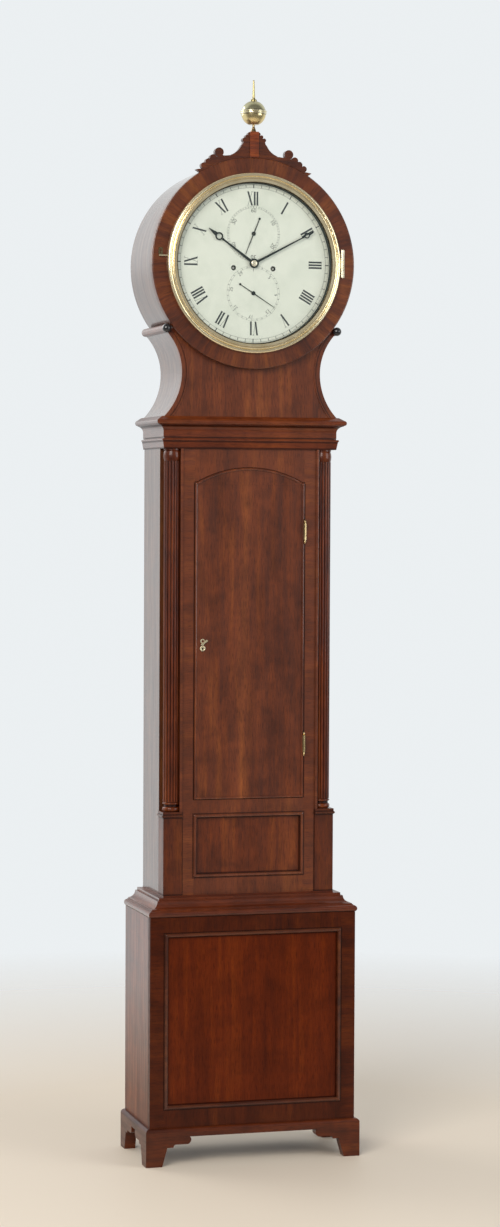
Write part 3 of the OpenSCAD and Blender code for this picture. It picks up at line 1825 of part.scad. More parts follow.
module strike_weight() {
  color(steel)
    mirror([1, 0, 0])
      weight_body();
}

// Gut line: down from the barrel, under the pulley and up to the seatboard
module line_body() {
  line_r = pulley_r + gut_r;
  translate([weight_x - line_r, back_y - line_d, pulley_z - eps])
    cylinder(h = winding_z - pulley_z, r = gut_r, $fn = 24);
  translate([weight_x + line_r, back_y - line_d, pulley_z - eps])
    cylinder(h = seat_z - seat_t - pulley_z, r = gut_r, $fn = 24);
  translate([weight_x, back_y - line_d, pulley_z])
    rotate([90, 0, 0])
      rotate([0, 0, 180])
        rotate_extrude(angle = 180)
          translate([line_r, 0])
            circle(r = gut_r, $fn = 24);
}

module time_line() {
  color("#c9b48a")
    line_body();
}

module strike_line() {
  color("#c9b48a")
    mirror([1, 0, 0])
      line_body();
}

base_front();
base_sides();
plinth_sides();
plinth_front_frame();
plinth_panel();
plinth_panel_moulding();
plinth_top_moulding();
backboard();
trunk_sides();
trunk_front_frame();
trunk_lower_panel();
column_blocks();
columns();
throat_frame();
cheeks();
seatboard();
door_hinge_posts();
trunk_door();
door_hinge_leaves();
lock_case();
lock_bolt();
escutcheon();
escutcheon_cover();
hood_base_moulding();
neck_front();
neck_sides();
ledge_mouldings();
bosses();
drum_shell();
drum_ring();
crest();
finial();
bezel_fittings();
bezel();
glass();
plate_front();
plate_back();
back_cock();
dial();
bell();
centre_wheel();
minute_hand();
minute_wheel();
hour_wheel();
hour_hand();
third_wheel();
escape_wheel();
seconds_hand();
date_hand();
time_great_wheel();
time_barrel();
strike_barrel();
pallets();
pendulum_rod();
pendulum_bob();
time_weight();
strike_weight();
time_line();
strike_line();
hammer();
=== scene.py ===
import bpy
import bmesh
import math
from functools import reduce
from mathutils import Matrix, Vector


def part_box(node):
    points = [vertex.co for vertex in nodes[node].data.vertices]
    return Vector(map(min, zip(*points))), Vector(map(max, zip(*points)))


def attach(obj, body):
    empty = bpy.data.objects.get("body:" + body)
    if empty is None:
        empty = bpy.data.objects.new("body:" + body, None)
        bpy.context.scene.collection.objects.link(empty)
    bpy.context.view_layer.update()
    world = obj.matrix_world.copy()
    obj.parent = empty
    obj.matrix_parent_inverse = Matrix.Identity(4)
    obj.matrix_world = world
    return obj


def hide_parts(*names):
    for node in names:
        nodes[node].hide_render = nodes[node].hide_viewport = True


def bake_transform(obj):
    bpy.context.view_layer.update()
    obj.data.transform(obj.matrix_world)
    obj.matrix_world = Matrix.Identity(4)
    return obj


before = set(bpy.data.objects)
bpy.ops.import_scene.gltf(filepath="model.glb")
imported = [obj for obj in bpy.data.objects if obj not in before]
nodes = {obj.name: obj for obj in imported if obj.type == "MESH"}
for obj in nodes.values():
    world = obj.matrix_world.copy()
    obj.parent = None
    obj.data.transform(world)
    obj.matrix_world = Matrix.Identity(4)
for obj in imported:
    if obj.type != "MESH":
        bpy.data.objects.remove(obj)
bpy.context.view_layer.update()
print("frame loaded:", len(nodes), "nodes")

# places on the dial in metres: its centre comes from the frame, the rest from the part's own sizes
drumLow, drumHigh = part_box("drum_ring")
clock = {"centreX": 0.0, "centreZ": (drumLow.z + drumHigh.z) / 2, "faceY": -0.0709, "subdialOff": 0.0566,
         "windingX": 0.0392, "windingDrop": 0.009}
white = (1, 1, 1)


# objects and meshes
def addObject(name, data):
    item = bpy.data.objects.new(name, data)
    bpy.context.scene.collection.objects.link(item)
    return item


def newPiece(name, mesh, body, finish):
    piece = addObject(name, mesh)
    mesh.materials.clear()
    mesh.materials.append(finishes[finish])
    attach(piece, body)
    return piece


def meshFrom(bm, name):
    mesh = bpy.data.meshes.new(name)
    bm.to_mesh(mesh)
    bm.free()
    return mesh


def closedMesh(bm, name):
    bmesh.ops.recalc_face_normals(bm, faces=bm.faces)
    return meshFrom(bm, name)


def evaluatedMesh(item):
    bpy.context.view_layer.update()
    return bpy.data.meshes.new_from_object(item.evaluated_get(bpy.context.evaluated_depsgraph_get()))


def smooth(piece, sharpFrom):
    piece.data.shade_smooth()
    piece.data.set_sharp_from_angle(angle=math.radians(sharpFrom))


def skin(bm, loops, closed=False):
    # quads from loop to loop, with a face over each end or joined end to end
    rows = [[bm.verts.new(point) for point in loop] for loop in loops]
    for a, b in zip(rows, rows[1:] + (rows[:1] if closed else [])):
        for i in range(len(a)):
            after = (i + 1) % len(a)
            bm.faces.new((a[i], a[after], b[after], b[i]))
    if not closed:
        bm.faces.new(rows[0][::-1])
        bm.faces.new(rows[-1])


def circle(steps):
    return [(math.cos(2 * math.pi * i / steps), math.sin(2 * math.pi * i / steps)) for i in range(steps)]


def dialCircle(radius, y, steps):
    return [(clock["centreX"] + radius * u, y, clock["centreZ"] + radius * v) for u, v in circle(steps)]


# node trees: a value of the tree is linked, a plain one is set
def plug(value, socket):
    if isinstance(value, Number):
        value = value.socket
    if isinstance(value, bpy.types.NodeSocket):
        socket.id_data.links.new(value, socket)
    elif socket.type == "RGBA" and len(value) == 3:
        socket.default_value = (*value, 1)
    else:
        socket.default_value = value


def setInputs(node, inputs):
    for key, value in inputs.items():
        plug(value, node.inputs[key])


def addNode(tree, kind, inputs=None, **settings):
    node = tree.nodes.new(kind)
    for key, value in settings.items():
        setattr(node, key, value)
    setInputs(node, inputs or {})
    return node


def calculate(operation, *values):
    tree = next(value.socket.id_data for value in values if isinstance(value, Number))
    node = addNode(tree, "ShaderNodeMath", dict(enumerate(values)), operation=operation)
    return Number(node.outputs[0])


class Number:
    # a number of a node tree that takes ordinary arithmetic
    def __init__(self, socket):
        self.socket = socket

    def __rsub__(self, other):
        return calculate("SUBTRACT", other, self)

    def __abs__(self):
        return calculate("ABSOLUTE", self)

    def spread(self, low, high, outLow, outHigh):
        node = addNode(self.socket.id_data, "ShaderNodeMapRange", {
            "Value": self, "From Min": low, "From Max": high, "To Min": outLow, "To Max": outHigh})
        return Number(node.outputs["Result"])

    def ramp(self, *stops):
        node = addNode(self.socket.id_data, "ShaderNodeValToRGB", {"Fac": self})
        elements = node.color_ramp.elements
        while len(elements) < len(stops):
            elements.new(0.5)
        for element, (place, colour) in zip(elements, stops):
            element.position = place
            element.color = (*colour, 1)
        return node.outputs["Color"]


for method, operation in {"__add__": "ADD", "__sub__": "SUBTRACT", "__mul__": "MULTIPLY",
                          "__truediv__": "DIVIDE", "__gt__": "GREATER_THAN", "__lt__": "LESS_THAN",
                          "larger": "MAXIMUM"}.items():
    setattr(Number, method, lambda self, other, operation=operation: calculate(operation, self, other))


def hypotenuse(a, b):
    return calculate("SQRT", a * a + b * b)


def split(vector):
    return [Number(part) for part in addNode(vector.id_data, "ShaderNodeSeparateXYZ", {0: vector}).outputs]


def combine(tree, *parts):
    return addNode(tree, "ShaderNodeCombineXYZ", dict(enumerate(parts))).outputs[0]


def objectCoords(tree, scale=(1, 1, 1), shift=(0, 0, 0)):
    coords = addNode(tree, "ShaderNodeTexCoord").outputs["Object"]
    node = addNode(tree, "ShaderNodeMapping", {"Vector": coords, "Scale": scale, "Location": shift})
    return node.outputs["Vector"]


def objectPlace(tree):
    return split(objectCoords(tree))


def faceAcross(tree):
    # how far a surface looks sideways
    return split(addNode(tree, "ShaderNodeNewGeometry").outputs["Normal"])[0]


def polarCoords(tree):
    # place along the drum's rim, depth and distance from its axis, as one vector
    rimRadius = 0.19
    x, y, z = split(objectCoords(tree, shift=(0, 0, -clock["centreZ"])))
    around = calculate("ARCTAN2", x, z * -1.0) * rimRadius
    return combine(tree, around, y, hypotenuse(x, z))


def fromAxis(tree):
    return split(polarCoords(tree))[2]


def stretched(vector, scale):
    return addNode(vector.id_data, "ShaderNodeMapping", {"Vector": vector, "Scale": scale}).outputs["Vector"]


def noise(vector, scale, detail=4.0, rough=0.55, distortion=0.0):
    node = addNode(vector.id_data, "ShaderNodeTexNoise", {
        "Vector": vector, "Scale": scale, "Detail": detail, "Roughness": rough, "Distortion": distortion})
    return Number(node.outputs["Fac"])


def choose(test, off, on):
    node = addNode(test.socket.id_data, "ShaderNodeMix", {0: test, 4: off, 5: on}, data_type="VECTOR")
    return node.outputs[1]


def mixColours(tree, mode, factor, a, b):
    node = addNode(tree, "ShaderNodeMix", {0: factor, 6: a, 7: b}, data_type="RGBA", blend_type=mode)
    return node.outputs[2]


def tinted(tree, factor, colour, tint):
    return mixColours(tree, "MULTIPLY", factor, colour, tint)


def bump(shader, height, strength, distance):
    node = addNode(shader.id_data, "ShaderNodeBump", {
        "Strength": strength, "Distance": distance, "Height": height})
    plug(node.outputs[0], shader.inputs["Normal"])


# materials
def startMaterial(name):
    material = bpy.data.materials.new(name)
    material.use_nodes = True
    tree = material.node_tree
    tree.nodes.clear()
    shader = addNode(tree, "ShaderNodeBsdfPrincipled")
    addNode(tree, "ShaderNodeOutputMaterial", {0: shader.outputs[0]})
    return material, tree, shader


# reeded columns: the sizes that their shape and their finish share
column = {"reeds": 16, "stepsPerReed": 12, "shaftRadius": 0.0160, "full": 0.0172, "footHeight": 0.020,
          "capHeight": 0.0245, "turnSteps": 96, "reedShare": 0.85, "valleyFrom": 0.0017, "valleyTo": 0.0003}

# mahogany: its tones, the sizes of its figure from broad to fine, its polish, and the tint of painted shade and
# dark lines
wood = {
    "dark": (0.050, 0.0095, 0.0030), "mid": (0.128, 0.0290, 0.0080), "light": (0.26, 0.078, 0.019),
    "broad": dict(scale=11.0, detail=3.0, rough=0.5, distortion=0.8),
    "streaks": dict(scale=95.0, detail=5.0, rough=0.62, distortion=0.35),
    "pores": dict(scale=900.0, detail=2.0, rough=0.5),
    "mottle": dict(scale=26.0, detail=2.0, rough=0.5, distortion=0.4),
    "feather": dict(scale=8.0, detail=3.0, rough=0.5, distortion=1.4),
    "broadShare": 0.45, "darkBelow": 0.16, "lightAbove": 0.18, "paleBlock": (1.9, 1.6, 1.2),
    "shadeAndDarkLineTint": (0.22, 0.17, 0.15), "coatRoughness": 0.07, "coatIor": 1.62, "poreDepth": 0.0003,
}
# the axis that the fibres follow is drawn out
fibres = {"z": (1, 1, 0.07), "x": (0.07, 1, 1), "y": (1, 0.07, 1)}


def mahogany(name, grain="z", depth=1.0, warmth=(1, 1, 1), contrast=1.0, seed=0.0, figure=1.0, clouds=0.0,
             coat=0.75, sheen=0.35, polar=False, mitred=False, banded=None, lightBlock=None, paintedShadeAndDarkLines=None,
             paintedSheen=None):
    material, tree, shader = startMaterial("mahogany " + name)
    base = polarCoords(tree) if polar else objectCoords(tree, shift=(seed, seed * 0.37, seed * 0.71))
    along = stretched(base, fibres[grain])
    if mitred:
        # front lengths run across, side lengths run back
        along = choose(abs(faceAcross(tree)) > 0.05, along, stretched(base, fibres["y"]))
    if banded:
        # a cross-banded frame: the stiles' grain runs across them, the rails' grain runs up
        along = choose(abs(objectPlace(tree)[0]) > banded, along, stretched(base, fibres["x"]))
    streaks, pores = noise(along, **wood["streaks"]), noise(along, **wood["pores"])
    tone = noise(along, **wood["broad"]) * wood["broadShare"] + streaks * (1 - wood["broadShare"])
    dark, mid, light = [tuple(v * depth * w for v, w in zip(wood[key], warmth))
                        for key in ("dark", "mid", "light")]
    colour = tone.ramp((0.5 - wood["darkBelow"] / contrast, dark), (0.5, mid),
                       (0.5 + wood["lightAbove"] / contrast, light))
    mottle = noise(base, **wood["mottle"]).ramp((0.3, (0.55, 0.5, 0.48)), (0.62, (1.18, 1.12, 1.05)))
    colour = tinted(tree, 0.55 * figure, colour, mottle)
    colour = tinted(tree, 0.5, colour, pores.ramp((0.36, (0.25, 0.2, 0.18)), (0.47, white)))
    if clouds:
        # broad dark feathers that lean across the board
        feather = noise(stretched(base, (1, 1, 0.4)), **wood["feather"])
        shade = feather.ramp((0.36, (0.42, 0.34, 0.34)), (0.58, (1.08, 1.04, 1.0)))
        colour = tinted(tree, clouds, colour, shade)
    if lightBlock:
        # the centre block of the crest is cut from paler wood
        colour = tinted(tree, abs(objectPlace(tree)[0]) < lightBlock, colour, wood["paleBlock"])
    # painted sheen: more coat where the given mask says
    coatWeight = paintedSheen(tree).spread(0.0, 1.0, coat, 1.0) if paintedSheen else coat
    # painted shade in gaps, creases and valleys, with the dark inlay and joint lines: a darker tint and less coat
    # there
    if paintedShadeAndDarkLines:
        wearShadeAndDarkLines = paintedShadeAndDarkLines(tree)
        colour = tinted(tree, wearShadeAndDarkLines, colour, wood["shadeAndDarkLineTint"])
        coatWeight = wearShadeAndDarkLines.spread(0.0, 1.0, 1.0, 0.1) * coatWeight
    setInputs(shader, {"Base Color": colour, "Roughness": streaks.spread(0.3, 0.7, 0.42, 0.3),
                       "Specular IOR Level": sheen, "Coat Weight": coatWeight,
                       "Coat Roughness": wood["coatRoughness"], "Coat IOR": wood["coatIor"]})
    bump(shader, pores, 0.04 if polar else 0.12, wood["poreDepth"])
    return material


oak = {"fibres": (1, 1, 0.06), "dark": (0.10, 0.055, 0.026), "mid": (0.22, 0.135, 0.068),
       "light": (0.30, 0.20, 0.11), "pore": (0.4, 0.35, 0.3), "poreDepth": 0.0006,
       "streaks": dict(scale=70.0, detail=5.0, rough=0.6, distortion=0.6),
       "pores": dict(scale=700.0, detail=2.0)}


def oakBoards(name):
    material, tree, shader = startMaterial(name)
    along = objectCoords(tree, scale=oak["fibres"])
    streaks, pores = noise(along, **oak["streaks"]), noise(along, **oak["pores"])
    colour = streaks.ramp((0.3, oak["dark"]), (0.55, oak["mid"]), (0.75, oak["light"]))
    colour = tinted(tree, 0.6, colour, pores.ramp((0.38, oak["pore"]), (0.5, white)))
    setInputs(shader, {"Base Color": colour, "Roughness": streaks.spread(0.3, 0.7, 0.75, 0.55)})
    bump(shader, pores, 0.35, oak["poreDepth"])
    return material


def metal(name, colour, tint, rough, grain=(1, 1, 1), wear=0.5, fine=400.0, strength=0.05, spread=0.4,
          metallic=1.0, tones=None):
    # two close tones with a rubbed, slightly tarnished variation
    material, tree, shader = startMaterial(name)
    coords = objectCoords(tree, scale=grain)
    cloud = noise(coords, scale=38.0, detail=5.0, rough=0.6)
    brushed = noise(coords, scale=fine, detail=3.0, rough=0.6)
    shown = cloud.ramp((0.35, tint), (0.6, colour))
    if tones:
        shown = tinted(tree, 1.0, shown, tones(tree))
    rubbed = (cloud * wear + brushed * (1 - wear)).spread(0.3, 0.7, rough * (1 - spread), rough * (1 + spread))
    setInputs(shader, {"Base Color": shown, "Roughness": rubbed, "Metallic": metallic})
    bump(shader, brushed, strength, 0.0002)
    return material


silver = {"dull": (0.68, 0.71, 0.59), "clean": (0.78, 0.80, 0.675), "speck": (0.8, 0.8, 0.78),
          "rim": (0.022, 0.030, 0.024), "rimFrom": 0.1512, "rimTo": 0.1518}


def silveredDial(name):
    material, tree, shader = startMaterial(name)
    cloud = noise(objectCoords(tree), scale=22.0, detail=5.0, rough=0.6)
    specks = noise(objectCoords(tree), scale=850.0, detail=2.0, rough=0.6)
    colour = cloud.ramp((0.3, silver["dull"]), (0.6, silver["clean"]))
    colour = tinted(tree, 0.25, colour, specks.ramp((0.3, silver["speck"]), (0.5, white)))
    # painted shade: the rim of the dial under the bezel is painted near black
    rim = fromAxis(tree).spread(silver["rimFrom"], silver["rimTo"], 0.0, 1.0)
    colour = mixColours(tree, "MIX", rim, colour, silver["rim"])
    setInputs(shader, {"Base Color": colour, "Roughness": cloud.spread(0.3, 0.7, 0.5, 0.38), "Metallic": 0.12})
    bump(shader, specks, 0.04, 0.0001)
    return material


def engravedWax(name, colour, rough=0.5):
    material, tree, shader = startMaterial(name)
    grainy = noise(objectCoords(tree), scale=1500.0, detail=2.0, rough=0.6)
    dusty = tuple(min(1, v * 1.9 + 0.02) for v in colour)
    setInputs(shader, {"Base Color": grainy.ramp((0.3, colour), (0.75, dusty)),
                       "Roughness": grainy.spread(0.3, 0.7, rough, rough + 0.15)})
    return material


def clearGlass(name):
    material, tree, shader = startMaterial(name)
    smear = noise(objectCoords(tree), scale=9.0, detail=3.0).spread(0.3, 0.7, 0.01, 0.03)
    setInputs(shader, {"Roughness": smear, "Base Color": (0.25, 0.3, 0.28), "Alpha": 0.06, "IOR": 1.5})
    return material


def paintedWood(name, colour, rough, coat):
    material, tree, shader = startMaterial(name)
    streaks = noise(objectCoords(tree, scale=(1, 0.2, 1)), scale=300.0, detail=3.0)
    wearShadeAndDarkLines = tuple(v * 2.4 for v in colour)
    setInputs(shader, {"Base Color": streaks.ramp((0.3, colour), (0.8, wearShadeAndDarkLines)), "Coat Weight": coat,
                       "Roughness": streaks.spread(0.3, 0.7, rough, rough + 0.12), "Coat Roughness": 0.08})
    return material


def gutString(name):
    material, tree, shader = startMaterial(name)
    wave = addNode(tree, "ShaderNodeTexWave", {"Vector": objectCoords(tree), "Scale": 500.0},
                   bands_direction="DIAGONAL")
    twist = Number(wave.outputs["Fac"])
    setInputs(shader, {"Base Color": twist.ramp((0.2, (0.38, 0.27, 0.13)), (0.8, (0.62, 0.49, 0.29))),
                       "Roughness": twist.spread(0, 1, 0.45, 0.6)})
    bump(shader, twist, 0.4, 0.0002)
    return material


# masks: painted shade in the wood's gaps, creases and valleys, dark inlay and joint lines, painted sheen where
# more coat shows, and tones of the metal, partly painted shade and reflections
neck = {"half": 0.1374, "narrow": 0.084, "lowRadius": 0.1205, "highRadius": 0.1115}
# widths and strengths of the painted shade lines and of the dark inlay and joint lines
shadeAndDarkLineSizes = {"soft": 0.0009, "panelSoft": 0.0008, "depth": 0.8, "frameDepth": 0.85, "neckDepth": 0.75,
              "neckInset": 0.0082, "neckHalf": 0.0005, "blockEdge": 0.1322, "panelBead": 0.0070,
              "doorGap": 0.0008, "doorHead": 0.030}


def reedValleys(tree):
    # painted shade in the valleys between the reeds and the necks of the turnings
    low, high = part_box("columns")
    x, y, _ = objectPlace(tree)
    away = hypotenuse(abs(x) - (high.x - column["full"]), y - (low.y + column["full"]))
    radius = column["shaftRadius"]
    return away.spread(radius - column["valleyFrom"], radius - column["valleyTo"], 1.0, 0.0)


def sideGloss(tree):
    # painted sheen: more coat on faces that point sideways
    return abs(faceAcross(tree)).spread(0.7, 0.95, 0.0, 1.0)


def rightGloss(tree):
    # painted highlight: more coat on faces that point to the right
    return faceAcross(tree).spread(0.55, 0.95, 0.0, 0.9)


def plinthGloss(tree):
    # painted reflection: more coat higher up the plinth, less towards the feet
    return objectPlace(tree)[2].spread(0.11, 0.33, 0.0, 0.66)


def levelLines(*levels):
    # level lines, each given by its height and half its width
    def drawn(tree):
        z = objectPlace(tree)[2]
        lines = [abs(z - middle).spread(half, half + shadeAndDarkLineSizes["soft"], shadeAndDarkLineSizes["depth"], 0.0)
                 for middle, half in levels]
        return reduce(Number.larger, lines)
    return drawn


def rectangleLine(node, offset, half):
    # a line that follows a panel's outline at an offset from its box
    def drawn(tree):
        low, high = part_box(node)
        x, _, z = objectPlace(tree)
        over = abs(z - (low.z + high.z) / 2) - (high.z - low.z) / 2
        away = (abs(x) - high.x).larger(over)
        return abs(away - offset).spread(half, half + shadeAndDarkLineSizes["panelSoft"], shadeAndDarkLineSizes["depth"], 0.0)
    return drawn


def neckLines(tree):
    # a string inlaid beside each edge of the waisted neck
    x, _, z = objectPlace(tree)
    rise = z - (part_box("neck_front")[0].z + neck["narrow"])
    radius = rise.spread(-0.0001, 0.0001, neck["lowRadius"], neck["highRadius"])
    away = hypotenuse(radius + neck["half"] - abs(x), rise)
    off, half = abs(away - radius - shadeAndDarkLineSizes["neckInset"]), shadeAndDarkLineSizes["neckHalf"]
    return off.spread(half, half + shadeAndDarkLineSizes["panelSoft"], shadeAndDarkLineSizes["neckDepth"], 0.0)


def frameLines(tree):
    # painted shade lines round the low panel and along the door's upright edges, and a dark joint line with
    # painted shade beside the column blocks
    low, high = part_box("trunk_door")
    x, _, z = objectPlace(tree)
    panel = rectangleLine("trunk_lower_panel", 0.0006, 0.0007)(tree).larger(
        rectangleLine("trunk_lower_panel", -shadeAndDarkLineSizes["panelBead"], 0.0006)(tree))
    fromBlock = abs(abs(x) - shadeAndDarkLineSizes["blockEdge"])
    besideBlock = fromBlock.spread(0.0009, 0.0016, shadeAndDarkLineSizes["frameDepth"], 0.0) * (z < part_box("columns")[0].z)
    fromDoor = abs(abs(x) - (high.x + shadeAndDarkLineSizes["doorGap"]))
    upright = (z > low.z) * (z < high.z - shadeAndDarkLineSizes["doorHead"])
    besideDoor = fromDoor.spread(0.0008, 0.0022, shadeAndDarkLineSizes["frameDepth"], 0.0) * upright
    return besideDoor.larger(panel).larger(besideBlock)


def finialTones(tree):
    # painted reflections and shade by height: dark foot, gold lower half, two dark lines beside the plain band,
    # olive upper half and brown spike
    low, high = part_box("finial")
    foot, line, band = (0.34, 0.27, 0.20), (0.14, 0.11, 0.07), (1.0, 0.98, 0.92)
    return objectPlace(tree)[2].spread(low.z, high.z, 0.0, 1.0).ramp(
        (0.0, foot), (0.115, foot), (0.15, (0.80, 0.62, 0.38)), (0.24, (1.0, 0.86, 0.58)),
        (0.325, (0.95, 0.85, 0.62)), (0.335, line), (0.346, band), (0.407, band), (0.418, line),
        (0.428, (0.72, 0.74, 0.66)), (0.53, (0.62, 0.62, 0.50)), (0.595, (0.30, 0.27, 0.17)),
        (0.64, (0.50, 0.46, 0.30)), (1.0, (0.46, 0.42, 0.27)))


def sightLine(tree):
    # painted shade on the bezel's inner wall and lip, and two brownish painted reflection rings on its face
    dark = (0.075, 0.060, 0.038)
    return fromAxis(tree).spread(0.1520, 0.1720, 0.0, 1.0).ramp(
        (0.0, dark), (0.085, dark), (0.13, white), (0.36, white), (0.40, (0.72, 0.58, 0.38)),
        (0.46, white), (0.60, white), (0.64, (0.80, 0.66, 0.45)), (0.70, white))


def catchTones(tree):
    # darker towards the left: the keyhole plate on the left is dark, the hinge on the right keeps the plain pale
    # brass
    return objectPlace(tree)[0].spread(-0.18, -0.10, 0.0, 1.0).ramp((0.0, (0.16, 0.14, 0.09)), (1.0, white))


def arborShade(tree):
    # painted shade round the winding arbors
    x, _, z = objectPlace(tree)
    away = hypotenuse(abs(x) - clock["windingX"], z - (clock["centreZ"] - clock["windingDrop"]))
    return away.spread(0.0, 0.016, 0.0, 1.0).ramp(
        (0.0, (0.05, 0.045, 0.035)), (0.7, (0.08, 0.07, 0.05)), (1.0, white))


def squareShine(tree):
    # the front end of the winding arbor is bright steel
    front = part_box("time_barrel")[0].y
    ahead = objectPlace(tree)[1].spread(front + 0.012, front + 0.010, 0.0, 1.0)
    return ahead.ramp((0.0, white), (1.0, (1.0, 1.25, 2.2)))


# painted shade lines under the nose of the hood's moulding, over its small ovolo and along the lower edges
mouldingLines = levelLines((1.4102, 0.0016), (1.3805, 0.0011), (1.3680, 0.0012), (0.4752, 0.0010),
                           (1.3882, 0.0008))
# painted shade lines under the cap of each column block, under its step and where it stands on the plinth
blockLines = levelLines((0.6605, 0.0010), (0.6672, 0.0006), (0.5128, 0.0010))
# painted shade lines round the panels, beside their mouldings
lowPanelLine = rectangleLine("trunk_lower_panel", -shadeAndDarkLineSizes["panelBead"] - 0.0006, 0.0008)
plinthFrameLine = rectangleLine("plinth_panel_moulding", 0.0007, 0.0008)
plinthPanelLine = rectangleLine("plinth_panel_moulding", -shadeAndDarkLineSizes["panelBead"] - 0.0008, 0.0010)

finishes = {
    "front": mahogany("upright", contrast=0.8, paintedShadeAndDarkLines=neckLines),
    "trunkFrame": mahogany("trunk frame", banded=0.1093, contrast=0.5, paintedShadeAndDarkLines=frameLines),
    "lowPanel": mahogany("low panel", depth=0.92, coat=0.45, warmth=(1, 0.86, 0.62), contrast=0.7,
                         paintedShadeAndDarkLines=lowPanelLine),
    "block": mahogany("column blocks", depth=0.7, coat=0.3, warmth=(1, 0.85, 0.62), seed=2.6, contrast=0.7,
                      paintedShadeAndDarkLines=blockLines),
    "door": mahogany("door", depth=1.06, seed=1.7, contrast=0.6, clouds=0.5, warmth=(1, 0.98, 0.88)),
    "plinthFrame": mahogany("plinth frame", depth=0.44, coat=0.03, banded=0.176, warmth=(1, 0.72, 0.45),
                            seed=2.2, contrast=0.55, sheen=0.15, paintedShadeAndDarkLines=plinthFrameLine),
    "panel": mahogany("plinth panel", depth=0.74, coat=0.03, warmth=(1, 0.62, 0.26), seed=3.1, figure=0.7,
                      contrast=0.52, sheen=0.1, paintedShadeAndDarkLines=plinthPanelLine),
    "panelBead": mahogany("panel moulding", "x", depth=0.5, coat=0.3, mitred=True, warmth=(1, 0.85, 0.65),
                          seed=1.3),
    "side": mahogany("side boards", seed=5.3, coat=1.0, depth=0.75, warmth=(0.88, 1.05, 1), contrast=0.7),
    "plinthSide": mahogany("plinth sides", depth=1.05, seed=6.1, coat=0.1, warmth=(1, 0.85, 0.5), sheen=0.15,
                           contrast=0.7, paintedSheen=plinthGloss),
    "moulding": mahogany("mouldings", "x", depth=0.85, seed=4.4, coat=0.22, mitred=True, warmth=(1, 0.78, 0.5),
                         contrast=0.7, paintedShadeAndDarkLines=mouldingLines, paintedSheen=sideGloss),
    "base": mahogany("base", "x", depth=0.68, seed=7.9, mitred=True, coat=0.12, warmth=(1, 0.80, 0.48),
                     contrast=0.7, sheen=0.25),
    "column": mahogany("columns", depth=0.78, seed=8.8, coat=0.2, warmth=(1, 0.78, 0.52), sheen=0.25,
                       paintedShadeAndDarkLines=reedValleys, paintedSheen=rightGloss),
    "ring": mahogany("ring", polar=True, coat=0.5, depth=0.82, contrast=0.8),
    "drum": mahogany("drum", "x", polar=True, depth=0.8, coat=0.95, warmth=(0.78, 1, 0.9), contrast=0.7),
    "crest": mahogany("crest", "x", depth=0.72, seed=9.4, coat=0.4, lightBlock=0.0087),
    "oak": oakBoards("oak boards"),
    "brass": metal("lacquered brass", (0.86, 0.68, 0.36), (0.74, 0.55, 0.27), 0.2),
    "bezelBrass": metal("polished bezel brass", (0.97, 0.85, 0.57), (0.92, 0.78, 0.48), 0.22, wear=0.8,
                        strength=0.004, spread=0.15, metallic=0.82, tones=sightLine),
    "finialBrass": metal("pale finial brass", (0.87, 0.82, 0.62), (0.79, 0.73, 0.51), 0.2, strength=0.008,
                         spread=0.2, metallic=0.88, tones=finialTones),
    "catchBrass": metal("pale catch brass", (0.95, 0.88, 0.68), (0.85, 0.76, 0.55), 0.3, metallic=0.6,
                        tones=catchTones),
    "plateBrass": metal("plate brass with painted shade", (0.80, 0.62, 0.32), (0.68, 0.50, 0.24), 0.25, tones=arborShade),
    "barrelBrass": metal("barrel brass", (0.86, 0.68, 0.36), (0.74, 0.55, 0.27), 0.2, metallic=0.75,
                         tones=squareShine),
    "handledBrass": metal("handled brass", (0.93, 0.84, 0.60), (0.80, 0.68, 0.44), 0.28, metallic=0.7),
    "steel": metal("bright steel", (0.56, 0.57, 0.58), (0.42, 0.42, 0.43), 0.28, grain=(1, 1, 0.1)),
    "blued": metal("blued steel", (0.030, 0.036, 0.036), (0.015, 0.018, 0.019), 0.35),
    "iron": metal("cast iron", (0.11, 0.11, 0.115), (0.055, 0.05, 0.05), 0.6, fine=900.0, strength=0.5),
    "dial": silveredDial("silvered dial"),
    "wax": engravedWax("black numeral wax", (0.012, 0.014, 0.016)),
    "faintWax": engravedWax("grey figure wax", (0.055, 0.06, 0.05)),
    "ebony": paintedWood("ebonised wood", (0.008, 0.008, 0.009), 0.25, 0.6),
    "glass": clearGlass("dial glass"),
    "gut": gutString("gut line"),
}

dressing = {
    "front": "neck_front",
    "trunkFrame": "trunk_front_frame",
    "lowPanel": "trunk_lower_panel",
    "block": "column_blocks",
    "plinthFrame": "plinth_front_frame",
    "door": "trunk_door",
    "panel": "plinth_panel",
    "side": "trunk_sides neck_sides",
    "plinthSide": "plinth_sides",
    "moulding": "plinth_top_moulding throat_frame hood_base_moulding ledge_mouldings",
    "panelBead": "plinth_panel_moulding",
    "base": "base_front base_sides",
    "column": "columns",
    "ring": "drum_ring",
    "drum": "drum_shell",
    "crest": "crest",
    "oak": "backboard cheeks seatboard",
    "brass": "door_hinge_posts door_hinge_leaves lock_case plate_back back_cock bell centre_wheel minute_wheel "
             "hour_wheel third_wheel escape_wheel time_great_wheel pendulum_bob",
    "catchBrass": "bezel_fittings",
    "plateBrass": "plate_front",
    "barrelBrass": "time_barrel strike_barrel",
    "bezelBrass": "bezel",
    "finialBrass": "finial",
    "handledBrass": "escutcheon escutcheon_cover",
    "steel": "lock_bolt pallets pendulum_rod hammer",
    "blued": "minute_hand hour_hand seconds_hand date_hand",
    "iron": "time_weight strike_weight",
    "dial": "dial",
    "ebony": "bosses",
    "glass": "glass",
    "gut": "time_line strike_line",
}
for finish, names in dressing.items():
    for name in names.split():
        for materialSlot in nodes[name].material_slots:
            materialSlot.material = finishes[finish]
print("finishes assigned:", sum(len(names.split()) for names in dressing.values()))


def engrave(name, bm, finish):
    newPiece(name, closedMesh(bm, name), "case", finish)


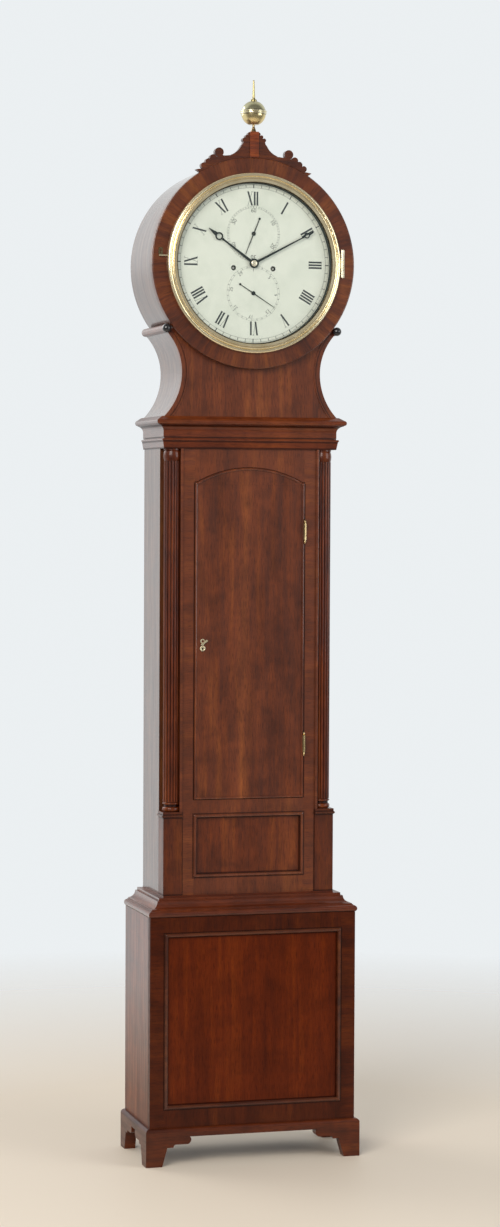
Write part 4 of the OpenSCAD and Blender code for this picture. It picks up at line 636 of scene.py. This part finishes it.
# Roman numerals, engraved and filled with black wax: feet towards the centre
numeral = {"inner": 0.1103, "outer": 0.1366, "thick": 0.0034, "thin": 0.0006, "serif": 0.0044,
           "serifThick": 0.0005, "gap": 0.0053, "depth": 0.00008, "halfV": 0.0036, "halfX": 0.0040}


def stroke(a, b, width):
    # a slanting stroke with level ends
    h = width / 2
    return [(a[0] - h, a[1]), (a[0] + h, a[1]), (b[0] + h, b[1]), (b[0] - h, b[1])]


def serif(x, z):
    half, over = numeral["serif"] / 2, z + numeral["serifThick"]
    return [(x - half, z), (x + half, z), (x + half, over), (x - half, over)]


def letterShapes(letter, height):
    thick, thin, top = numeral["thick"], numeral["thin"], height - numeral["serifThick"]
    if letter == "I":
        return 0.0, [stroke((0, 0), (0, height), thick), serif(0, 0), serif(0, top)]
    half = numeral["half" + letter]
    foot = half if letter == "X" else 0
    shapes = [stroke((-half, height), (foot, 0), thick), stroke((half, height), (-foot, 0), thin),
              serif(-half, top), serif(half, top)]
    if letter == "X":
        shapes += [serif(-half, 0), serif(half, 0)]
    return half, shapes


def buildNumerals():
    bm = bmesh.new()
    height = numeral["outer"] - numeral["inner"]
    for hour, word in enumerate(("XII", "I", "II", "III", "IIII", "V", "VI", "VII", "VIII", "IX", "X", "XI")):
        shapes, x, last = [], 0.0, None
        for letter in word:
            half, parts = letterShapes(letter, height)
            if last is not None:
                x += last + half + numeral["gap"]
            shapes += [[(px + x, pz) for px, pz in part] for part in parts]
            last = half
        angle = math.radians(30 * hour)
        for part in shapes:
            turned = []
            for px, pz in part:
                u, v = px - x / 2, pz + numeral["inner"]
                turned.append((clock["centreX"] + u * math.cos(angle) + v * math.sin(angle),
                               clock["centreZ"] - u * math.sin(angle) + v * math.cos(angle)))
            skin(bm, [[(px, y, pz) for px, pz in turned]
                      for y in (clock["faceY"], clock["faceY"] - numeral["depth"])])
    engrave("roman_numerals", bm, "wax")


buildNumerals()
print("numerals engraved")


# Geometry Nodes: each tree starts from named inputs and ends with real geometry in its finish
def startTree(name, takesGeometry=None, **inputs):
    group = bpy.data.node_groups.new(name, "GeometryNodeTree")
    face = group.interface
    if takesGeometry:
        face.new_socket(takesGeometry, in_out="INPUT", socket_type="NodeSocketGeometry")
    for kind, labels in inputs.items():
        for label in labels.split(", "):
            face.new_socket(label, in_out="INPUT", socket_type="NodeSocket" + kind)
    face.new_socket("Material", in_out="INPUT", socket_type="NodeSocketMaterial")
    face.new_socket("Geometry", in_out="OUTPUT", socket_type="NodeSocketGeometry")
    return group, {socket.name: Number(socket) for socket in addNode(group, "NodeGroupInput").outputs}


def geometry(group, kind, inputs=None, **settings):
    # the shape, or the field, that a node of the tree hands on
    return addNode(group, "GeometryNode" + kind, inputs, **settings).outputs[0]


def endTree(group, given, shape):
    real = geometry(group, "RealizeInstances", {0: shape})
    painted = geometry(group, "SetMaterial", {"Geometry": real, "Material": given["Material"]})
    addNode(group, "NodeGroupOutput", {0: painted})
    return group


def sweep(group, curve, section, **more):
    return geometry(group, "CurveToMesh", {"Curve": curve, "Profile Curve": section, "Fill Caps": True, **more})


def meshByNodes(name, group, values, body, finish, start=None):
    holder = addObject(name + "_maker", start or bpy.data.meshes.new(name + "_maker"))
    modifier = holder.modifiers.new("maker", "NODES")
    modifier.node_group = group
    values = {**values, "Material": finishes[finish]}
    for item in group.interface.items_tree:
        if item.in_out == "INPUT" and item.name in values:
            modifier[item.identifier] = values[item.name]
    mesh = evaluatedMesh(holder)
    holder.modifiers.clear()
    bpy.data.objects.remove(holder)
    mesh.name = name
    return newPiece(name, mesh, body, finish)


# rings of marks: one small bar at each step of a circle
def ringTree():
    group, given = startTree("ring of marks", Int="Count, Skip every", Float="Radius, Length, Width, Depth",
                             Vector="Centre")
    points = geometry(group, "MeshCircle", {"Vertices": given["Count"], "Radius": given["Radius"]})
    size = combine(group, given["Length"], given["Width"], given["Depth"])
    mark = geometry(group, "MeshCube", {"Size": size})
    index = Number(geometry(group, "InputIndex"))
    turn = index / given["Count"] * (2 * math.pi)
    # marks where index / skip is whole are left to the ring of longer marks
    shown = calculate("FLOORED_MODULO", index, given["Skip every"]) > 0.5
    shown = shown.larger(given["Skip every"] < 0.5)
    places = geometry(group, "InstanceOnPoints", {
        "Points": points, "Selection": shown, "Instance": mark, "Rotation": combine(group, 0, 0, turn)})
    upright = geometry(group, "Transform", {
        "Geometry": places, "Translation": given["Centre"], "Rotation": (math.radians(90), 0, 0)})
    return endTree(group, given, upright)


# reeded columns: a tree that sweeps a reeded section up the shaft and turns base and capital
def turningProfile(height):
    # height and radius of each turned part, foot and capital, as two runs of points
    full, footHeight = column["full"], column["footHeight"]
    arc = lambda centre, radius, low, high, steps: [
        (centre[0] + radius * math.sin(math.radians(low + (high - low) * i / steps)),
         centre[1] + radius * math.cos(math.radians(low + (high - low) * i / steps))) for i in range(steps + 1)]
    foot = ([(0, full - 0.0030), (0.0003, full - 0.0030)]
            + arc((0.0052, full - 0.005), 0.005, -70, 70, 14)
            + [(0.0112, full - 0.0034), (0.0138, full - 0.0034)]
            + arc((0.0160, full - 0.0023), 0.0018, -80, 80, 10)
            + [(0.0186, full - 0.0026), (footHeight, full - 0.0026)])
    low = height - column["capHeight"]
    cap = ([(low, full - 0.0034), (low + 0.0006, full - 0.0034)]
           + arc((low + 0.0108, full - 0.0302), 0.0300, -19, 19, 16)
           + [(low + 0.0210, full - 0.0022), (low + 0.0214, full - 0.0008), (height - 0.0004, full - 0.0008),
              (height, full - 0.0012)])
    return foot, cap


def columnTree():
    group, given = startTree("reeded column", takesGeometry="Turnings", Float="Shaft radius",
                             Int="Reeds, Steps per reed, Turning steps",
                             Vector="Shaft foot, Shaft top, First place, Apart")
    reeds, steps, shaftRadius = given["Reeds"], given["Steps per reed"], given["Shaft radius"]

    # section of the shaft: round reeds that meet in sharp valleys
    around = geometry(group, "CurvePrimitiveCircle", {"Resolution": reeds * steps, "Radius": 1.0})
    index = Number(geometry(group, "InputIndex"))
    swing = calculate("FRACT", index / steps) * 2.0 - 1.0
    bulge = calculate("SQRT", (1.0 - swing * swing).larger(0.0))
    reed = shaftRadius * (column["reedShare"] * math.pi) / reeds
    radius = shaftRadius - reed + reed * bulge
    place = geometry(group, "InputPosition")
    grown = addNode(group, "ShaderNodeVectorMath", {0: place, "Scale": radius}, operation="SCALE").outputs[0]
    section = geometry(group, "SetPosition", {"Geometry": around, "Position": grown})
    line = geometry(group, "CurvePrimitiveLine", {"Start": given["Shaft foot"], "End": given["Shaft top"]})
    shaft = sweep(group, line, section)

    # turned foot and capital: the incoming points give height and radius
    outline = geometry(group, "MeshToCurve", {0: given["Turnings"]})
    x, _, z = split(place)
    sized = geometry(group, "SetCurveRadius", {"Curve": outline, "Radius": x})
    straight = geometry(group, "SetPosition", {"Geometry": sized, "Position": combine(group, 0, 0, z)})
    wheel = geometry(group, "CurvePrimitiveCircle", {"Resolution": given["Turning steps"], "Radius": 1.0})
    thickness = geometry(group, "InputRadius")
    turned = sweep(group, straight, wheel, Scale=thickness)

    both = addNode(group, "GeometryNodeJoinGeometry")
    for shape in (shaft, turned):
        plug(shape, both.inputs[0])
    pair = geometry(group, "MeshLine", {
        "Count": 2, "Start Location": given["First place"], "Offset": given["Apart"]})
    stand = geometry(group, "InstanceOnPoints", {"Points": pair, "Instance": both.outputs[0]})
    return endTree(group, given, stand)


def buildColumns():
    low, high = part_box("columns")
    full, height = column["full"], high.z - low.z
    overlap = 0.001
    bm = bmesh.new()
    for run in turningProfile(height):
        row = [bm.verts.new((radius, 0, z)) for z, radius in run]
        for a, b in zip(row, row[1:]):
            bm.edges.new((a, b))
    piece = meshByNodes("reeded_columns", columnTree(), {
        "Reeds": column["reeds"], "Steps per reed": column["stepsPerReed"],
        "Turning steps": column["turnSteps"], "Shaft radius": column["shaftRadius"],
        "Shaft foot": (0, 0, column["footHeight"] - overlap),
        "Shaft top": (0, 0, height - column["capHeight"] + overlap),
        "First place": (low.x + full, low.y + full, low.z), "Apart": (high.x - low.x - 2 * full, 0, 0)},
        "case", "column", start=meshFrom(bm, "column_turnings"))
    smooth(piece, 32)
    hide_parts("columns")


# tracks of the dial: marks, circles and figures
engraving = {"markDepth": 0.00006, "circleDepth": 0.00005, "figureDepth": 0.00003, "circleSteps": 160}
frontOfDial = clock["faceY"] - engraving["figureDepth"]
dialMiddle, subdialTop, subdialLow = [(0.0, frontOfDial, clock["centreZ"] + side * clock["subdialOff"])
                                      for side in (0, 1, -1)]
marks = ringTree()
# name: count, marks skipped, radius, length, width, centre, finish
ringsOfMarks = {
    "minute_ticks": (60, 5, 0.1469, 0.0056, 0.0010, dialMiddle, "faintWax"),
    "five_minute_ticks": (12, 0, 0.1470, 0.0076, 0.0017, dialMiddle, "wax"),
    "seconds_ticks": (60, 5, 0.0505, 0.0034, 0.0007, subdialTop, "faintWax"),
    "seconds_long_ticks": (12, 0, 0.0503, 0.0044, 0.0010, subdialTop, "faintWax"),
    "date_ticks": (31, 0, 0.0505, 0.0034, 0.0009, subdialLow, "faintWax"),
}
for name, (count, skip, radius, length, width, centre, finish) in ringsOfMarks.items():
    meshByNodes(name, marks, {
        "Count": count, "Skip every": skip, "Radius": radius, "Length": length, "Width": width,
        "Depth": engraving["markDepth"], "Centre": centre}, "case", finish)
print("rings of marks built:", len(ringsOfMarks))
buildColumns()
print("columns turned and reeded")


# rounded edge strips of the trunk's front, one in front of each column
strip = {"width": 0.005, "thick": 0.0057, "round": 0.0012, "roundSteps": 6, "clear": 0.0002, "lap": 0.0001}


def buildStrips():
    low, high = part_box("trunk_front_frame")
    foot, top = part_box("columns")[0].z + strip["clear"], high.z - strip["clear"]
    front, back = low.y, low.y + strip["thick"]
    inner, edge, corner = high.x - strip["lap"], high.x + strip["width"], strip["round"]
    bends = [math.pi / 2 * i / strip["roundSteps"] for i in range(strip["roundSteps"] + 1)]
    arris = [(edge - corner + corner * math.sin(bend), front + corner - corner * math.cos(bend))
             for bend in bends]
    outline = [(inner, back), (inner, front)] + arris + [(edge, back)]
    bm = bmesh.new()
    for side in (-1, 1):
        skin(bm, [[(side * x, y, z) for x, y in outline] for z in (foot, top)])
    newPiece("trunk_edge_strips", closedMesh(bm, "trunk_edge_strips"), "case", "trunkFrame")


buildStrips()
print("edge strips planted")

# fine engraved circles round the tracks: centre, radius and width
engravedCircles = {
    "minute_circle_outer": (dialMiddle, 0.1498, 0.0005),
    "minute_circle_inner": (dialMiddle, 0.1440, 0.0005),
    "seconds_circle_outer": (subdialTop, 0.0522, 0.00025),
    "seconds_circle_inner": (subdialTop, 0.0488, 0.00025),
    "date_circle_outer": (subdialLow, 0.0522, 0.00025),
    "date_circle_inner": (subdialLow, 0.0488, 0.00025),
}
for name, (centre, radius, width) in engravedCircles.items():
    bm = bmesh.new()
    corners = [(-1, 0), (1, 0), (1, engraving["circleDepth"]), (-1, engraving["circleDepth"])]
    skin(bm, [[(centre[0] + (radius + side * width / 2) * u, clock["faceY"] - raised,
                centre[2] + (radius + side * width / 2) * v) for u, v in circle(engraving["circleSteps"])]
              for side, raised in corners], closed=True)
    engrave(name, bm, "faintWax")


# small arabic figures of the seconds and date rings
def figures(name, words, centre, radius, height):
    bm = bmesh.new()
    for i, word in enumerate(words):
        if not word:
            continue
        angle = 2 * math.pi * i / len(words)
        curve = bpy.data.curves.new(name + word, "FONT")
        curve.body = word
        curve.size = height
        curve.align_x = "CENTER"
        curve.align_y = "CENTER"
        curve.extrude = engraving["figureDepth"]
        holder = addObject(name + word, curve)
        mesh = evaluatedMesh(holder)
        upright, outwards = Matrix.Rotation(math.radians(90), 4, "X"), Matrix.Rotation(angle, 4, "Y")
        spot = (centre[0] + radius * math.sin(angle), frontOfDial, centre[2] + radius * math.cos(angle))
        mesh.transform(Matrix.Translation(spot) @ outwards @ upright)
        bm.from_mesh(mesh)
        bpy.data.objects.remove(holder)
        bpy.data.meshes.remove(mesh)
    engrave(name, bm, "faintWax")


secondWords = [str(5 * i or 60) if i % 2 == 0 else "" for i in range(12)]
dateWords = [str(day) if day % 4 == 1 else "" for day in range(1, 32)]
figures("seconds_figures", secondWords, subdialTop, 0.0440, 0.0108)
figures("date_figures", dateWords, subdialLow, 0.0442, 0.0092)
print("figures engraved")


# boss of the hands: a blued disc and a domed brass collet in front of it
def turnedOnDial(name, profile, finish, steps=64):
    # the profile gives the distance in front of the minute hand's face and the radius there
    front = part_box("minute_hand")[0].y
    bm = bmesh.new()
    skin(bm, [dialCircle(radius, front - ahead, steps) for ahead, radius in profile])
    smooth(newPiece(name, closedMesh(bm, name), "centre", finish), 35)


bossProfile = [(-0.0004, 0.0090), (0.0001, 0.0091), (0.0004, 0.0088)]
colletProfile = [(0.0002, 0.0058), (0.0010, 0.0058), (0.0017, 0.0050), (0.0021, 0.0034), (0.0022, 0.0020)]
turnedOnDial("minute_hand_boss", bossProfile, "blued")
turnedOnDial("hand_collet", colletProfile, "catchBrass")
print("boss of the hands turned")


# slotted screws: a head at each point, its slot turned by a fixed seed
screw = {"headRadius": 0.0018, "headHeight": 0.0006, "slotWidth": 0.0004, "slotReach": 2.4, "sides": 24,
         "seed": 7}


def screwTree():
    group, given = startTree("slotted screws", takesGeometry="Points", Vector="Tilt", Int="Seed",
                             Float="Head radius, Head height, Slot width")
    headRadius, headHeight = given["Head radius"], given["Head height"]
    head = geometry(group, "MeshCylinder", {
        "Vertices": screw["sides"], "Radius": headRadius, "Depth": headHeight * 2.0})
    bladeSize = combine(group, headRadius * screw["slotReach"], given["Slot width"], headHeight)
    blade = geometry(group, "MeshCube", {"Size": bladeSize})
    raised = geometry(group, "Transform", {"Geometry": blade, "Translation": combine(group, 0, 0, headHeight)})
    cut = geometry(group, "MeshBoolean", {0: head, 1: raised}, operation="DIFFERENCE")
    # the head is turned about its own axis first, then tilted onto its face
    random = addNode(group, "FunctionNodeRandomValue", {3: math.pi, "Seed": given["Seed"]}, data_type="FLOAT")
    places = geometry(group, "InstanceOnPoints", {
        "Points": given["Points"], "Instance": cut, "Rotation": given["Tilt"]})
    spun = geometry(group, "RotateInstances", {
        "Instances": places, "Rotation": combine(group, 0, 0, random.outputs[1])})
    return endTree(group, given, spun)


screws = screwTree()


def buildScrews(name, node, body, insetX, insetLow, insetHigh):
    # one screw near each corner of a piece's back
    low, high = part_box(node)
    spots = bpy.data.meshes.new(name + "_spots")
    spots.from_pydata([(x, high.y, z) for x in (low.x + insetX, high.x - insetX)
                       for z in (low.z + insetLow, high.z - insetHigh)], [], [])
    meshByNodes(name, screws, {
        "Head radius": screw["headRadius"], "Head height": screw["headHeight"],
        "Slot width": screw["slotWidth"], "Tilt": (math.radians(-90), 0, 0), "Seed": screw["seed"]},
        body, "steel", start=spots)


# four screws hold the lock to the back of the door, four hold the pillars to the back plate
buildScrews("lock_screws", "lock_case", "door", 0.005, 0.005, 0.005)
buildScrews("plate_screws", "plate_back", "case", 0.008, 0.009, 0.010)
print("screws set")


# gut lines: from the barrel down round the weight's pulley and up to the seatboard
gut = {"radius": 0.0008, "sides": 10, "strandSteps": 60, "loopSteps": 24}


def tube(path):
    bm = bmesh.new()
    rings = []
    for i, point in enumerate(path):
        ahead = (path[min(i + 1, len(path) - 1)] - path[max(i - 1, 0)]).normalized()
        across = Vector((0, 1, 0))
        up = ahead.cross(across)
        rings.append([point + gut["radius"] * (u * across + v * up) for u, v in circle(gut["sides"])])
    skin(bm, rings)
    return bm


def gutPiece(name, path, node):
    mesh = closedMesh(tube(path), name)
    mesh.materials.append(finishes["gut"])
    piece = addObject(name, mesh)
    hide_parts(node)
    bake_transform(piece)


def buildGut(node, side):
    low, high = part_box(node)
    loopRadius = (high.x - low.x) / 2 - gut["radius"]
    middle = Vector(((low.x + high.x) / 2, (low.y + high.y) / 2, low.z + gut["radius"] + loopRadius))
    inner, outer = middle.x - side * loopRadius, middle.x + side * loopRadius
    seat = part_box("seatboard")[0].z
    steps, bends = gut["strandSteps"], gut["loopSteps"]
    place = lambda x, z: Vector((x, middle.y, z))
    fall = [place(inner, high.z + (middle.z - high.z) * i / steps) for i in range(steps)]
    angles = [math.pi * i / bends for i in range(bends + 1)]
    loop = [middle + Vector((-side * math.cos(angle), 0, -math.sin(angle))) * loopRadius for angle in angles]
    rise = [place(outer, seat + (middle.z - seat) * i / steps) for i in range(steps + 1)]
    gutPiece(node + "_from_barrel", fall + loop, node)
    gutPiece(node + "_to_seatboard", rise, node)


buildGut("time_line", 1)
buildGut("strike_line", -1)
print("gut lines hung")


# turns of gut left on each barrel
coil = {"turns": 3.0, "radius": 0.0178, "pitch": 0.0016, "stepsPerTurn": 40, "sides": 8}


def coilTree():
    group, given = startTree("coil of gut", Float="Turns, Coil radius, Height, Gut radius", Bool="Reverse",
                             Vector="Centre")
    spiral = geometry(group, "CurveSpiral", {
        "Resolution": coil["stepsPerTurn"], "Rotations": given["Turns"], "Start Radius": given["Coil radius"],
        "End Radius": given["Coil radius"], "Height": given["Height"], "Reverse": given["Reverse"]})
    section = geometry(group, "CurvePrimitiveCircle", {
        "Resolution": coil["sides"], "Radius": given["Gut radius"]})
    upright = geometry(group, "Transform", {
        "Geometry": sweep(group, spiral, section), "Translation": given["Centre"],
        "Rotation": (math.radians(90), 0, 0)})
    return endTree(group, given, upright)


coils = coilTree()
for node, body, line in (("time_barrel", "going_barrel", "time_line"),
                         ("strike_barrel", "striking_barrel", "strike_line")):
    low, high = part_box(node)
    lineLow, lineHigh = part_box(line)
    length = coil["pitch"] * coil["turns"]
    middle = ((low.x + high.x) / 2, (lineLow.y + lineHigh.y) / 2 + length, lineHigh.z)
    meshByNodes(node + "_gut_turns", coils, {
        "Turns": coil["turns"], "Coil radius": coil["radius"], "Height": length, "Gut radius": gut["radius"],
        "Reverse": node == "strike_barrel", "Centre": middle}, body, "gut")
print("gut wound on both barrels")

# camera: its place and lens come from a fit of the clock's edges in the photograph
cameraFit = {"place": (-1.5597, -5.4651, 1.2550), "yaw": 0.28087, "pitch": -0.03615, "roll": 0.0047,
             "focalPixels": 2931.3, "longSidePixels": 1227, "sensor": 36, "clipEnd": 60}


def buildCamera():
    data = bpy.data.cameras.new("camera")
    camera = addObject("camera", data)
    yaw, pitch, roll = cameraFit["yaw"], cameraFit["pitch"], cameraFit["roll"]
    ahead = Vector((math.sin(yaw) * math.cos(pitch), math.cos(yaw) * math.cos(pitch), math.sin(pitch)))
    right = Vector((math.cos(yaw), -math.sin(yaw), 0))
    up = right.cross(ahead)
    right, up = right * math.cos(roll) + up * math.sin(roll), up * math.cos(roll) - right * math.sin(roll)
    turned = Matrix((right, up, -ahead)).transposed()
    camera.matrix_world = Matrix.Translation(cameraFit["place"]) @ turned.to_4x4()
    data.sensor_width = cameraFit["sensor"]
    data.lens = cameraFit["focalPixels"] / cameraFit["longSidePixels"] * data.sensor_width
    data.clip_end = cameraFit["clipEnd"]
    bpy.context.scene.camera = camera


buildCamera()

# soft studio: big lamps at the left front, right front and left back
lamps = {
    "key": dict(place=(-2.6, -3.4, 3.0), aim=(0, 0, 1.2), size=(2.4, 2.4), watts=150, colour=(1.0, 0.97, 0.93)),
    "fill": dict(place=(3.2, -3.0, 2.0), aim=(0, 0, 1.0), size=(2.6, 2.6), watts=70, colour=(0.93, 0.97, 1.0)),
    "back": dict(place=(-2.0, 2.4, 2.8), aim=(0, 0, 1.4), size=(2.0, 2.0), watts=40, colour=(1.0, 1.0, 1.0)),
}
for name, lamp in lamps.items():
    data = bpy.data.lights.new(name, "AREA")
    data.shape = "RECTANGLE"
    data.size, data.size_y = lamp["size"]
    data.energy = lamp["watts"]
    data.color = lamp["colour"]
    light = addObject(name, data)
    light.location = lamp["place"]
    light.rotation_euler = (Vector(lamp["aim"]) - Vector(lamp["place"])).to_track_quat("-Z", "Y").to_euler()

# the room: white where it is seen, pale behind the clock and dim on the camera's side in reflections
room = {"shown": (0.835, 0.868, 0.885), "light": (0.9, 0.95, 1.0), "strength": 0.55,
        "pale": (0.835, 0.850, 0.850), "dim": (0.115, 0.105, 0.095), "dimFrom": -0.25, "paleFrom": 0.30}


def buildRoom():
    world = bpy.data.worlds.new("room")
    bpy.context.scene.world = world
    world.use_nodes = True
    tree = world.node_tree
    tree.nodes.clear()
    backdrop = lambda colour, strength=1.0: addNode(
        tree, "ShaderNodeBackground", {0: colour, 1: strength}).outputs[0]
    rays = addNode(tree, "ShaderNodeLightPath").outputs
    depth = split(addNode(tree, "ShaderNodeTexCoord").outputs["Generated"])[1]
    facing = depth.spread(room["dimFrom"], room["paleFrom"], 0.0, 1.0)
    mirrored = backdrop(mixColours(tree, "MIX", facing, room["dim"], room["pale"]))
    glossy = addNode(tree, "ShaderNodeMixShader", {
        0: rays["Is Glossy Ray"], 1: backdrop(room["light"], room["strength"]), 2: mirrored})
    direct = Number(rays["Is Camera Ray"]).larger(Number(rays["Is Transmission Ray"]))
    seen = addNode(tree, "ShaderNodeMixShader", {0: direct, 1: glossy.outputs[0], 2: backdrop(room["shown"])})
    addNode(tree, "ShaderNodeOutputWorld", {0: seen.outputs[0]})


buildRoom()

# the floor fades into the room's colour away from the clock
ground = {"radius": 4.5, "segments": 96, "colour": (0.76, 0.65, 0.52), "rough": 0.6, "fadeFrom": 0.7,
          "fadeTo": 2.6}


def buildFloor():
    bm = bmesh.new()
    bmesh.ops.create_circle(bm, cap_ends=True, segments=ground["segments"], radius=ground["radius"])
    floor = addObject("floor", meshFrom(bm, "floor"))
    material, tree, shader = startMaterial("pale floor")
    setInputs(shader, {"Base Color": ground["colour"], "Roughness": ground["rough"]})
    away = addNode(tree, "ShaderNodeVectorMath", {0: objectCoords(tree)}, operation="LENGTH").outputs["Value"]
    blend = addNode(tree, "ShaderNodeMixShader", {
        0: Number(away).spread(ground["fadeFrom"], ground["fadeTo"], 0.0, 1.0), 1: shader.outputs[0],
        2: addNode(tree, "ShaderNodeBsdfTransparent").outputs[0]})
    out = next(node for node in tree.nodes if node.type == "OUTPUT_MATERIAL")
    plug(blend.outputs[0], out.inputs[0])
    floor.data.materials.append(material)


buildFloor()
bpy.context.scene.view_settings.view_transform = "Standard"
print("camera, lamps and floor set")
